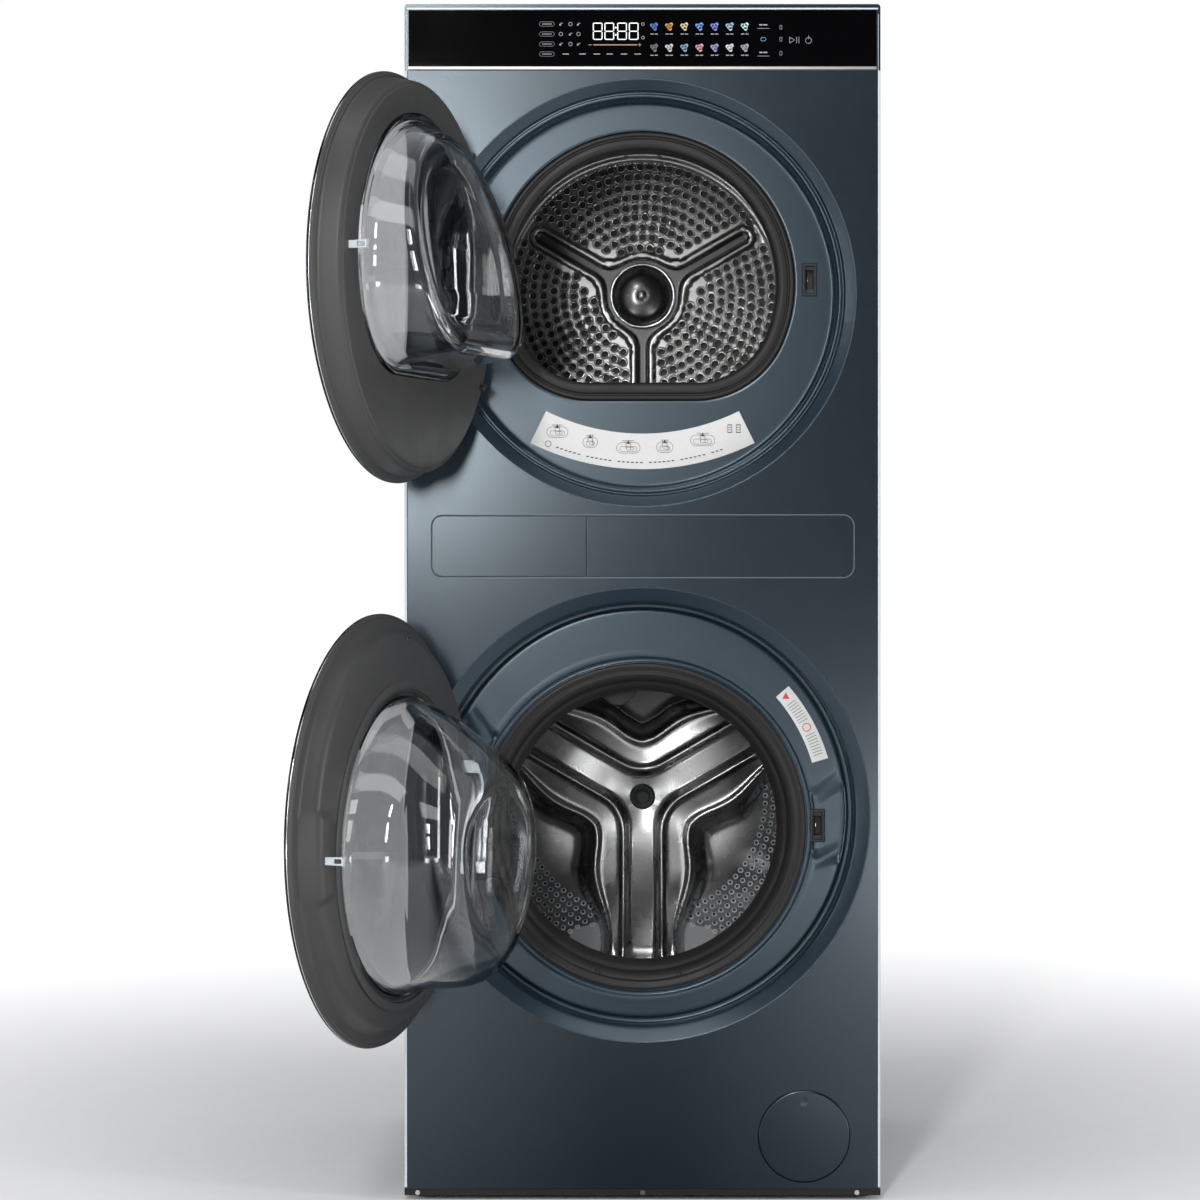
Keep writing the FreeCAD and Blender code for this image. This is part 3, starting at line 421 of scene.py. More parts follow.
def add_world():
    """A white studio: bright to the eye, softer as light, and dim in reflections."""
    world = bpy.data.worlds.new("studio")
    world.use_nodes = True
    tree = world.node_tree
    background = tree.nodes["Background"]
    background.inputs["Color"].default_value = (0.97, 0.98, 1.0, 1)
    rays = add_node(tree, "LightPath")
    seen = add_node(tree, "Math", "MULTIPLY_ADD", [(1, 0.65), (2, 0.38)],
                    [(0, straight_rays(tree, rays))])
    dimmed = add_node(tree, "Math", "MULTIPLY_ADD", [(1, -0.26)],
                      [(0, rays.outputs["Is Glossy Ray"]), (2, seen.outputs["Value"])])
    tree.links.new(dimmed.outputs["Value"], background.inputs["Strength"])
    bpy.context.scene.world = world


def floor_paint():
    """A pale floor that fades to white far off; reflections see it dark along its middle."""
    paint = shaded("floor_paint", (0.88, 0.88, 0.89), 0.7, grain=30, mottle=0.01, bump=0.02,
                   Specular_IOR_Level=0.1)
    tree = paint.node_tree
    shader = tree.nodes["Principled BSDF"]
    rays = add_node(tree, "LightPath")
    place = add_node(tree, "TexCoord").outputs["Object"]
    far = add_node(tree, "VectorMath", "LENGTH", (), [(0, place)]).outputs["Value"]
    fade = map_range(tree, far, (0.3, 3.0), (0, 0.75), smooth=True)
    glow_seen = add_node(tree, "Math", "MULTIPLY", (), [(0, fade), (1, straight_rays(tree, rays))])
    tree.links.new(glow_seen.outputs["Value"], shader.inputs["Emission Strength"])
    shader.inputs["Emission Color"].default_value = (1, 1, 1, 1)
    apart = add_node(tree, "SeparateXYZ", None, (), [("Vector", place)])
    aside = add_node(tree, "Math", "ABSOLUTE", (), [(0, apart.outputs["X"])]).outputs["Value"]
    dark = add_node(tree, "BsdfDiffuse", None, (),
                    [("Color", map_range(tree, aside, (0.05, 0.36), (0.14, 0.95)))])
    chosen = add_node(tree, "MixShader", None, (), [
        ("Fac", rays.outputs["Is Glossy Ray"]), (1, shader.outputs["BSDF"]),
        (2, dark.outputs["BSDF"])])
    tree.links.new(chosen.outputs["Shader"], tree.nodes["Material Output"].inputs["Surface"])
    return paint


def add_stage():
    mesh = bpy.data.meshes.new("floor")
    mesh.from_pydata([(-30, -30, 0), (30, -30, 0), (30, 30, 0), (-30, 30, 0)], [], [(0, 1, 2, 3)])
    floor = bpy.data.objects.new("floor", mesh)
    bpy.context.collection.objects.link(floor)
    floor.data.materials.append(floor_paint())
    add_world()
    area_light("strip_low", (-0.62, -4.25, 1.42), (-0.62, 0, 1.42), (0.3, 1.05), 36)
    area_light("strip_high", (-0.62, -4.25, 2.80), (-0.62, 0, 2.80), (0.3, 0.95), 56)
    area_light("rim_left", (-2.4, -1.4, 0.95), (0, -0.3, 0.9), (0.5, 1.9), 22)
    area_light("rim_right", (2.4, -1.4, 0.95), (0, -0.3, 0.9), (0.5, 1.9), 22)
    area_light("top", (0, -0.8, 3.4), (0, -0.2, 0.8), (2.4, 1.0), 11)
    area_light("front_top", (0, -2.7, 3.0), (0, -0.3, 0.4), (2.2, 0.8), 15)
    area_light("front_low", (0.0, -4.4, 0.22), (0, 0, 0.3), (1.3, 0.36), 1.5)
    area_light("low_right", (0.78, -3.6, 0.14), (0.3, -0.3, 0.14), (0.4, 0.22), 5)
    area_light("low_left", (-0.78, -3.6, 0.14), (-0.3, -0.3, 0.14), (0.4, 0.22), 4)
    bpy.context.scene.view_settings.view_transform = "Standard"


# ---------------------------------------------------------------- front rings

def bump_over(angle, low, high, blur=2.5):
    """1 between two angles in degrees, 0 outside, with soft ends."""
    turn = math.degrees(angle) % 360
    if turn > (low + high) / 2 + 180:
        turn -= 360
    edge = min(turn - low, high - turn)
    share = min(1, max(0, edge / blur + 0.5))
    return share * share * (3 - 2 * share)


def dryer_ring():
    """The dryer's bezel: a broad bevel, a dark groove, a bright step and a flat face."""
    bezel = DRYER_BEZEL
    face = DRYER_FACE
    outer = soften([
        (bezel, FRONT + 0.4), (bezel - 1.2, FRONT + 0.4, 0.8), (bezel - 14.0, FRONT + 8.6, 1.5),
        (bezel - 15.5, FRONT + 12.5, 0.8), (bezel - 17.5, FRONT + 12.5, 0.8),
        (bezel - 18.5, FRONT + 10.4, 1.2), (bezel - 21.5, FRONT + 10.4, 1.4),
        (bezel - 23.4, FRONT + 14, 1.2), (bezel - 26.5, face, 4), (bezel - 33, face),
        (bezel - 34.5, face)], 8)
    back = soften([
        (bezel - 27, face + 2.5), (bezel - 21, FRONT + 15, 2), (bezel - 13.5, FRONT + 15, 2),
        (bezel, FRONT + 4), (bezel, FRONT + 2)])
    rows = [circle(radius, y, DRYER_Z) for radius, y in outer]
    rows += [mouth(SEAL_WIDTH + 4.5, face), mouth(SEAL_WIDTH + 3, face),
             mouth(SEAL_WIDTH + 1.4, face + 0.6)]
    rows.append(mouth(SEAL_WIDTH + 1, face + 2.5))
    rows += [circle(radius, y, DRYER_Z) for radius, y in back]
    return skin(rows, wrap=True)


def washer_ring():
    """The washer's bezel, with a deep groove and shallow pads at the lock and the hinge."""
    bezel = WASHER_BEZEL
    face = WASHER_FACE

    def padded_row(radius, y, amount, z=WASHER_Z):
        points = []
        for x, _, height in circle(radius, y, z):
            angle = math.atan2(height - WASHER_Z, x)
            pad = bump_over(angle, -13.5, 7.5) + bump_over(angle, 152, 208)
            points.append((x, y + amount * pad, height))
        return points

    outer = soften([
        (bezel, FRONT + 0.4), (bezel - 1.2, FRONT + 0.4, 0.8), (bezel - 17.5, FRONT + 9.5, 2),
        (bezel - 19.5, FRONT + 13, 1.5), (bezel - 20.5, face + 4.5, 2), (bezel - 26, face + 5, 2),
        (bezel - 28.5, face + 1)])
    rows = [circle(radius, y, WASHER_Z) for radius, y in outer]
    rows += [padded_row(bezel - 29.5, face + 0.2, 1), padded_row(bezel - 31, face - 0.1, 3.2),
             padded_row(bezel - 33, face - 0.15, 3.4), padded_row(bezel - 36, face - 0.2, 3.4)]
    rows += [padded_row(MOUTH_R + 18, face - 0.38, 3.4, MOUTH_Z),
             padded_row(MOUTH_R + 16, face - 0.4, 3.4, MOUTH_Z),
             padded_row(MOUTH_R + 12, face - 0.7, 3.2, MOUTH_Z),
             padded_row(MOUTH_R + 10, face - 0.6, 1, MOUTH_Z)]
    inner = soften([
        (MOUTH_R + 8.6, face - 0.4), (MOUTH_R + 6, face + 2.5, 1.5), (MOUTH_R + 2.5, face + 2.5, 1),
        (MOUTH_R + 1, face + 0.6, 0.6), (MOUTH_R + 0.2, face + 0.6, 0.5), (MOUTH_R + 0.2, face + 4)])
    rows += [circle(radius, y, MOUTH_Z) for radius, y in inner]
    rows += [circle(MOUTH_R + 9, face + 6.4, MOUTH_Z), circle(bezel - 29, face + 6.4, WASHER_Z)]
    rows += [circle(radius, y, WASHER_Z) for radius, y in [
        (bezel - 18, face + 6.5), (bezel - 16, FRONT + 14), (bezel, FRONT + 4), (bezel, FRONT + 2)]]
    return skin(rows, wrap=True)


def lock_face(x, z, face):
    """A lock's bezel, sunk in its ring, with a step down to the slot and a tongue inside."""
    wide = 9.4
    tall = 20.8
    rims = [(wide, tall, face + 2.6), (wide, tall, face - 0.7), (wide - 1, tall - 1, face - 1.3),
            (wide - 3.2, tall - 3.2, face - 1.3), (wide - 4.0, tall - 4.0, face + 1.6),
            (wide - 4.6, tall - 8.5, face + 1.8), (wide - 4.8, tall - 8.8, face + 16)]
    rows = []
    for half_x, half_z, y in rims:
        rows.append([(x + half_x, y, z + half_z), (x - half_x, y, z + half_z),
                     (x - half_x, y, z - half_z), (x + half_x, y, z - half_z)])
    points, faces = skin(rows)
    faces.append(tuple(range(len(points) - 4, len(points))))
    return points, faces


def carve(item, low, high):
    """Cut a box out of a piece."""
    points, faces = bar(low, high)
    mesh = bpy.data.meshes.new("cutter")
    mesh.from_pydata([Vector(point) * MM for point in points], [], faces)
    work = bmesh.new()
    work.from_mesh(mesh)
    bmesh.ops.recalc_face_normals(work, faces=work.faces)
    work.to_mesh(mesh)
    work.free()
    cutter = bpy.data.objects.new("cutter", mesh)
    bpy.context.collection.objects.link(cutter)
    hole = item.modifiers.new("hole", "BOOLEAN")
    hole.operation = "DIFFERENCE"
    hole.solver = "EXACT"
    hole.object = cutter
    solid = bpy.data.meshes.new_from_object(
        item.evaluated_get(bpy.context.evaluated_depsgraph_get()))
    item.modifiers.clear()
    item.data = solid
    bpy.data.objects.remove(cutter)


def make_rings():
    """Both bezels, each with a hole for its lock and the lock in it."""
    rings = [piece(name + "_bezel", outline, "ring_blue", "cabinet",
                   [name + "_front_ring"])
             for name, outline in (("dryer", dryer_ring()), ("washer", washer_ring()))]
    for name, ring, (x, z, face), sunk in (("dryer", rings[0], DRYER_LATCH, 0.0),
                                           ("washer", rings[1], WASHER_LATCH, 2.24)):
        carve(ring, (x - 9.6, face - 8, z - 21), (x + 9.6, face + 12, z + 21))
        piece(name + "_lock", lock_face(x, z, face + sunk), "dark_gap_and_painted_shade",
              "cabinet", ["door_locks"], sharp=20)
        piece(name + "_lock_tongue", bar((x - 2.6, face + 7, z - 2), (x - 1.4, face + 12.5, z + 2)),
              "bright_steel", "cabinet", bevel=0.4)


# ---------------------------------------------------------------- seals

def dryer_seal():
    """The D-shaped seal: an outer bead, a groove, a broad lip and a throat with two ribs."""
    profile = soften(set_off([
        (23, 8), (23, -0.6, 0.8), (21, -2.2, 0.8), (18.5, -2.2, 0.8),
        (17, 0.2, 0.6), (15.5, 0.2, 0.6), (14, -2.4, 1), (8.5, -3.2, 2),
        (3.5, -1.6, 2), (1.2, 3, 2), (0.6, 8, 1), (2.4, 9.5, 0.6),
        (2.4, 12, 0.6), (0.4, 13.5, 1), (0.4, 17, 1), (3, 18.5, 0.6),
        (3, 20.8), (22.5, 20.8)], 0, DRYER_FACE))
    return skin([mouth(grow, y) for grow, y in profile], wrap=True)


def gasket():
    """The bellows: an outer lip in the ring, a valley, and a rolled inner lip."""
    face = WASHER_FACE
    deep = reach("washer_gasket")[1].y - face
    profile = soften(set_off([
        (-0.3, 6), (-0.3, -0.2, 1.2), (-4, -0.8, 1.5),
        (-8, 0.8, 1), (-10, 1.4, 1), (-13, -0.6, 2),
        (-18, 2, 3), (-21.5, 7, 2), (-23, 12, 1.5),
        (-28, 15, 2), (-33, 22, 3), (-36.6, 31, 3),
        (-34, 37, 3), (-31, 46, 2), (-22, 53, 2),
        (-22, deep), (-18, deep), (-18, 49, 2),
        (-29, 42, 2), (-31, 36, 2), (-28, 24, 2),
        (-12, 8, 2)], MOUTH_R, face))
    return lathe(profile, MOUTH_Z)


def nozzle():
    """The spray nozzle's flap at the top of the gasket, pointed on its right."""
    y = WASHER_FACE + 50
    top = MOUTH_Z + MOUTH_R - 38
    outline = [(-62, top + 7), (-30, top + 15), (8, top + 17), (-18, top - 13), (-27, top - 18),
               (-38, top - 17), (-52, top - 7)]
    return plate(outline, y, y + 12)


def drain_hole(angle):
    """A small ringed hole low on the gasket."""
    radius = MOUTH_R - 15
    x = radius * math.cos(math.radians(angle))
    z = MOUTH_Z + radius * math.sin(math.radians(angle))
    face = WASHER_FACE - 0.6
    return lathe([(3.6, face + 3), (3.6, face, 0.6), (2.2, face - 0.6, 0.4), (1.5, face + 1.5, 0.4),
                  (1.5, face + 3)], z, x, 20)


def make_seals():
    piece("dryer_seal", dryer_seal(), "dark_rubber", "cabinet", ["dryer_door_seal"])
    piece("washer_bellows", gasket(), "dark_rubber", "cabinet", ["washer_gasket"])
    piece("spray_nozzle", nozzle(), "black_plastic", "cabinet",
          bevel=1.5)
    for side, angle in (("left", -107), ("right", -76)):
        piece("drain_hole_" + side, drain_hole(angle), "dark_rubber", "cabinet")


# ---------------------------------------------------------------- drum backs

def soft_min(first, second, softness):
    share = max(0.0, softness - abs(first - second)) / softness
    return min(first, second) - share * share * softness / 4


def arm_distance(x, z, length, softness=1.0):
    """Distance from the nearest of three arms, and how far along it that is."""
    ways = []
    for angle in (30, 150, 270):
        ray = Vector((math.cos(math.radians(angle)), math.sin(math.radians(angle))))
        along = min(max(0.0, x * ray.x + z * ray.y), length)
        ways.append((math.hypot(x - ray.x * along, z - ray.y * along), along))
    ways.sort()
    return soft_min(ways[0][0], ways[1][0], softness), ways[0][1]


def between(knots, value, smooth=True):
    """Read a curve given by a few (place, height) knots."""
    if value <= knots[0][0]:
        return knots[0][1]
    for (low_at, low_is), (high_at, high_is) in zip(knots, knots[1:]):
        if value <= high_at:
            share = (value - low_at) / (high_at - low_at)
            return low_is + (high_is - low_is) * (step(0, 1, share) if smooth else share)
    return knots[-1][1]


def step(low, high, value):
    share = min(1.0, max(0.0, (value - low) / (high - low)))
    return share * share * (3 - 2 * share)


def dryer_relief(x, z):
    """Height of the dryer's drum back towards the door, and the distance from its arms."""
    radius = math.hypot(x, z)
    field = soft_min(arm_distance(x, z, 163)[0], radius - 45, 22)
    ridge = step(17, 14, field) - 0.9 * step(9, 5.5, field)
    rim = step(187, 190, radius) * 3 + step(198, 202, radius) * 5
    rim += step(203, DRYER_DRUM_R, radius) * 12
    return ridge * 6 + rim, field


WASHER_ARM_WIDTH = [(15, 57), (98, 66), (190, 46)]
WASHER_ARM_HEIGHT = [(0, 11), (16, 11), (24, 14), (67, 7), (88, -3)]


def washer_relief(x, z):
    """Height of the washer's drum back: broad arms with two ridges each, dished between."""
    radius = math.hypot(x, z)
    near, along = arm_distance(x, z, 400, 30)
    width = between(WASHER_ARM_WIDTH, along)
    spread = near if near < 30 else 30 + (near - 30) * 36 / (width - 30)
    height = between(WASHER_ARM_HEIGHT, spread, False)
    height += 4.5 * math.exp(-((spread - 26) / 4.5) ** 2)
    height += 5.5 * math.exp(-((spread - 66) / 5.5) ** 2)
    height -= 0.09 * along * step(26, 15, spread) + 12 * math.exp(-(radius / 42) ** 2)
    dome = math.inf
    for angle in (90, 210, 330):
        middle = Vector((math.cos(math.radians(angle)), math.sin(math.radians(angle)))) * 128
        dome = min(dome, math.hypot(x - middle.x, z - middle.y))
    height += (-4 - 4.5 * (dome / 60) ** 2) * step(78, 100, spread)
    return height + step(205, WASHER_DRUM_R, radius) * 12, spread


def hole_rows(first, last, pitch):
    """Places on rings about the centre, staggered from ring to ring."""
    places = []
    count = int(round((last - first) / pitch))
    for row in range(count + 1):
        radius = first + (last - first) * row / count
        around = int(round(TURN * radius / pitch))
        for index in range(around):
            angle = TURN * (index + 0.5 * (row % 2)) / around
            places.append((radius * math.cos(angle), radius * math.sin(angle)))
    return places


def pressed_plate(radius, relief, holes, hole_radius, eyelet, z, back, fine_zone, coarse=9.0):
    """A pressed steel disc with real holes: a fine net where the relief is steep."""
    points = []
    constraints = []
    heights = []

    def add(x, y_z, height=None):
        points.append(Vector((x, y_z)))
        heights.append(relief(x, y_z)[0] if height is None else height)
        return len(points) - 1

    rim_count = 240
    first = len(points)
    for index in range(rim_count):
        angle = TURN * index / rim_count
        add(radius * math.cos(angle), radius * math.sin(angle))
    constraints += [(first + i, first + (i + 1) % rim_count) for i in range(rim_count)]
    sides = 10
    taken = {}
    for x, y_z in holes:
        taken.setdefault((int(x // 20), int(y_z // 20)), []).append((x, y_z))
        for share, lift in ((1.0, eyelet * 0.6), (1.2, eyelet), (1.5, 0.0)):
            start = len(points)
            for index in range(sides):
                angle = TURN * (index + 0.5 * (share == 1.2)) / sides
                edge_x = x + hole_radius * share * math.cos(angle)
                edge_z = y_z + hole_radius * share * math.sin(angle)
                add(edge_x, edge_z, relief(edge_x, edge_z)[0] + lift)
            constraints += [(start + i, start + (i + 1) % sides) for i in range(sides)]

    def near_hole(x, y_z, clear):
        column, row = int(x // 20), int(y_z // 20)
        for near_column in (column - 1, column, column + 1):
            for near_row in (row - 1, row, row + 1):
                for hole_x, hole_z in taken.get((near_column, near_row), ()):
                    if math.hypot(x - hole_x, y_z - hole_z) < clear:
                        return True
        return False

    fine = 2.6
    steps = int(radius / fine)
    for column in range(-steps, steps + 1):
        for row in range(-steps, steps + 1):
            x = (column + 0.5 * (row % 2)) * fine
            y_z = row * fine * 0.87
            distance = math.hypot(x, y_z)
            if distance > radius - 2:
                continue
            if not fine_zone(x, y_z, distance):
                spacing = int(coarse / fine)
                if column % spacing or row % spacing:
                    continue
            if not near_hole(x, y_z, hole_radius * 1.5 + 1.0):
                add(x, y_z)
    flat, _, faces, sources, _, _ = delaunay_2d_cdt(points, [tuple(c) for c in constraints],
                                                   [], 0, 0.001)
    kept = []
    for face in faces:
        middle = sum((flat[index] for index in face), Vector((0, 0))) / len(face)
        if middle.length < radius and not near_hole(middle.x, middle.y, hole_radius * 0.93):
            kept.append(tuple(face))
    solid = []
    for index, point in enumerate(flat):
        height = heights[sources[index][0]] if sources[index] else relief(point.x, point.y)[0]
        solid.append((point.x, back - height, z + point.y))
    return solid, kept


def split(mesh_parts, test):
    """Two meshes: the faces whose middles pass the test, and the rest."""
    points, faces = mesh_parts
    halves = []
    for wanted in (True, False):
        chosen = [face for face in faces if test(points, face) == wanted]
        used = sorted({index for face in chosen for index in face})
        renumbered = {old: new for new, old in enumerate(used)}
        halves.append(([points[index] for index in used],
                       [tuple(renumbered[index] for index in face) for face in chosen]))
    return halves


def collar(x, z, radius, y, axis):
    """The bright drawn edge of one hole."""
    rows = [circle(r, depth, axis + z, x, 12) for r, depth in
            ((radius - 0.7, y + 1.2), (radius - 0.4, y - 0.1), (radius + 0.3, y - 0.2),
             (radius + 1.0, y + 0.7))]
    return skin(rows)


def thicken(item, thickness):
    wall = item.modifiers.new("sheet", "SOLIDIFY")
    wall.thickness = thickness * MM
    wall.offset = 0.0


def make_drums():
    def dryer_zone(x, z, distance):
        field = dryer_relief(x, z)[1]
        return field < 20 or distance > 184 and distance < 206

    holes = [place for place in hole_rows(68, 180.5, 13.7)
             if dryer_relief(*place)[1] > 22]
    pressed = pressed_plate(DRYER_DRUM_R - 1.5, dryer_relief, holes, 4.9, 1.6, DRYER_AXIS,
                            DRYER_BACK + 1, dryer_zone)

    def in_channel(points, face):
        x = sum(points[index][0] for index in face) / len(face)
        z = sum(points[index][2] for index in face) / len(face) - DRYER_AXIS
        return dryer_relief(x, z)[1] < 7.5

    # The arm channels are given near-black steel: painted shade and painted dark reflection.
    channel, net = split(pressed, in_channel)
    back = piece("dryer_drum_plate", net, "back_steel", "dryer_drum",
                 ["dryer_drum_back"], sharp=50)
    thicken(back, 0.8)
    floor = piece("dryer_arm_channels_painted_shade", channel, "painted_shade_steel", "dryer_drum",
                  sharp=50)
    thicken(floor, 0.8)
    collars = [collar(x, z, 5.1, DRYER_BACK + 1 - dryer_relief(x, z)[0] - 1.5, DRYER_AXIS)
               for x, z in holes]
    piece("dryer_hole_rims", merge(*collars), "bright_steel", "dryer_drum",
          sharp=80)
    # A dark disc behind the drum back, standing for the rear duct cover; its near-black paint is
    # painted shade seen through the holes.
    duct = [(0.01, DRYER_BACK + 9), (185, DRYER_BACK + 9), (190, DRYER_BACK + 4, 3),
            (194, DRYER_BACK + 4), (194, DRYER_BACK + 5.5), (0.01, DRYER_BACK + 11)]
    piece("dryer_duct_painted_shade", lathe(duct, DRYER_AXIS, count=120), "dark_gap_and_painted_shade",
          "dryer_drum")
    hub = DRYER_BACK - 1
    piece("dryer_hub_ring", lathe([(46, hub + 1), (46, hub - 6, 1.5), (44.5, hub - 8.5, 1),
                                   (42.5, hub - 8.5, 1), (41, hub - 5, 1), (41, hub + 1)],
                                  DRYER_AXIS, count=96), "bright_steel",
          "dryer_drum")
    dome = [(41, hub), (41, hub - 4, 1), (38.5, hub - 7, 2), (30, hub - 10.5, 6), (14, hub - 13, 6),
            (7, hub - 13.2, 1), (6, hub - 12, 0.6), (4.6, hub - 12.2, 0.4), (4.2, hub - 14.6, 0.6),
            (0.01, hub - 14.9), (0.01, hub)]
    piece("dryer_hub", lathe(dome, DRYER_AXIS, count=96), "dark_hub", "dryer_drum")

    def washer_zone(x, z, distance):
        return distance < 216

    holes = [place for place in hole_rows(170, 214, 11)
             if washer_relief(*place)[1] > 96 and place[1] < 90]
    pressed = pressed_plate(WASHER_DRUM_R - 1.5, washer_relief, holes, 2.6, 0.0, WASHER_AXIS,
                            WASHER_BACK + 1, washer_zone, coarse=5.2)

    def in_top_field(points, face):
        x = sum(points[index][0] for index in face) / len(face)
        z = sum(points[index][2] for index in face) / len(face) - WASHER_AXIS
        return z > 60 and washer_relief(x, z)[1] > 88

    # The top field is given near-black steel: painted shade, though the drum's three fields are alike.
    field, net = split(pressed, in_top_field)
    back = piece("washer_drum_plate", net, "drum_steel", "washer_drum",
                 ["washer_drum_back"], sharp=75)
    thicken(back, 0.8)
    upper = piece("washer_top_field_painted_shade", field, "painted_shade_steel", "washer_drum",
                  sharp=75)
    thicken(upper, 0.8)
    # Dark discs just behind the holes: painted shade standing for the depth behind each hole.
    painted_shades = [disc_mark(x, WASHER_AXIS + z, 3.0, WASHER_BACK + 2 - washer_relief(x, z)[0], 10)
              for x, z in holes]
    piece("washer_hole_painted_shades", merge(*painted_shades), "dark_gap_and_painted_shade", "washer_drum")
    # The washer's hole rims take the light paint: painted highlights on their drawn edges.
    collars = [collar(x, z, 2.9, WASHER_BACK + 1 - washer_relief(x, z)[0] - 0.9, WASHER_AXIS)
               for x, z in holes]
    piece("washer_hole_rims", merge(*collars), "painted_highlight_line", "washer_drum",
          sharp=80)
    hub = WASHER_BACK - 15
    piece("washer_hub", lathe([(17, hub + 12), (15.5, hub + 7.6, 1.5), (12, hub + 8.4, 1),
                               (9, hub + 9.4, 1), (7, hub + 10, 1), (0.01, hub + 10),
                               (0.01, hub + 12)], WASHER_AXIS, count=64), "dark_gap_and_painted_shade",
          "washer_drum")


# ---------------------------------------------------------------- doors

def rim_profile(radius):
    """The edge of a door liner, from the pane's edge to the foot of its wall."""
    return [(radius - 5, FRONT - 6.5), (radius - 0.6, FRONT - 5, 0.8),
            (radius - 0.6, FRONT - 1.5, 1), (radius - 3.2, FRONT - 0.4, 0.6),
            (radius - 4.2, FRONT + 1.2, 0.6)]


def dryer_liner():
    radius = DRYER_DOOR_R
    back = FRONT + 30
    outer = soften(rim_profile(radius) + [
        (radius - 6.5, FRONT + 1.4, 0.8), (radius - 8, FRONT + 3.5, 1.5),
        (radius - 12, back - 4.5, 2.5), (radius - 14.5, back - 2.6, 1.5),
        (radius - 17, back - 2.2, 1.2), (radius - 18.5, back - 0.2, 1), (radius - 24, back)])
    rows = [circle(r, y, DRYER_Z) for r, y in outer]
    rows += [mouth(32, back), mouth(24, back - 0.5), mouth(17, back - 1.9), mouth(11.2, back - 2.6),
             mouth(10.6, back - 4), mouth(10.6, back - 7.2), mouth(2, back - 7.2),
             mouth(2, back - 9)]
    inner = soften([(radius - 34, back - 5), (radius - 21, back - 5, 4),
                    (radius - 15, back - 8, 4), (radius - 11, FRONT + 3, 3), (radius - 8, FRONT - 3)])
    rows += [circle(r, y, DRYER_Z) for r, y in inner]
    return skin(rows, wrap=True)


def washer_liner():
    radius = WASHER_DOOR_R
    back = FRONT + 30

    def pad(r, y, amount):
        points = []
        for x, _, z in circle(r, y, WASHER_Z):
            angle = math.atan2(z - WASHER_Z, x)
            points.append((x, y + amount * bump_over(angle, -16, 9, 3), z))
        return points

    rows = [circle(r, y, WASHER_Z) for r, y in soften(rim_profile(radius))]
    rows += [pad(radius - 9, FRONT + 1.8, 0), pad(radius - 13.5, FRONT + 2.5, 0),
             pad(radius - 17, FRONT + 5, 2), pad(radius - 22, FRONT + 14, 5),
             pad(radius - 26, FRONT + 19.5, 5), pad(radius - 31, FRONT + 21.5, 5),
             pad(radius - 37, FRONT + 23, 4), pad(radius - 45, FRONT + 25, 3.5),
             pad(radius - 50, FRONT + 25.5, 3)]
    rows += [circle(r, y, MOUTH_Z) for r, y in soften([
        (196, back - 2.5, 3), (190, back, 2), (184.5, back + 0.2, 1), (183.2, back - 3, 0.8),
        (177, back - 3.4), (177, back - 5)])]
    rows += [circle(196, back - 6, MOUTH_Z)]
    rows += [circle(r, y, WASHER_Z) for r, y in [
        (radius - 50, FRONT + 21), (radius - 30, FRONT + 17), (radius - 20, FRONT + 3),
        (radius - 8, FRONT - 3)]]
    return skin(rows, wrap=True)


def bowl_skin(rows, inner_start):
    """A bowl's wall from its outer and inner rows, with both of its tips closed."""
    points, faces = skin(rows, wrap=True)
    count = len(rows[0])
    bridge = {inner_start - 1, inner_start}
    join = [face for face in faces if {index // count for index in face} != bridge]
    for row in (inner_start - 1, inner_start):
        join.append(tuple(row * count + i for i in range(count)))
    return points, join


def dryer_bowl():
    """The wedge of glass: its tip is a slanted plane, deeper at the foot, with a lobed dish."""
    slant = math.tan(math.radians(12))

    def tip(share, offset=0.0):
        return lambda rise: FRONT + 27 + share * (62 - slant * (rise - 40)) + offset

    rows = [mouth(1, FRONT + 23.4), mouth(9.2, FRONT + 23.4), mouth(9.8, FRONT + 24.4),
            mouth(9.8, FRONT + 27.4), mouth(8.8, FRONT + 28.2), mouth(4, FRONT + 28.2),
            mouth(1.5, FRONT + 29)]
    for grow, share in ((-1.5, 0.08), (-5, 0.3), (-9, 0.55), (-13, 0.8), (-15, 0.92), (-18, 0.975),
                        (-23, 1.0), (-32, 1.0), (-40, 0.97), (-47, 0.88), (-58, 0.82)):
        rows.append(mouth(grow, tip(share)))
    rows.append(mouth(-90, tip(0.84)))
    outer_end = len(rows)
    rows.append(mouth(-90, tip(0.84, -4)))
    for grow, share in ((-61, 0.82), (-50, 0.86), (-42, 0.95), (-34, 0.99), (-25, 0.99),
                        (-21, 0.96), (-19, 0.9), (-17, 0.78), (-13, 0.54), (-9, 0.29), (-5.5, 0.08)):
        rows.append(mouth(grow, tip(share, -4)))
    rows += [mouth(-3.5, FRONT + 27), mouth(-1.5, FRONT + 24)]
    return bowl_skin(rows, outer_end)


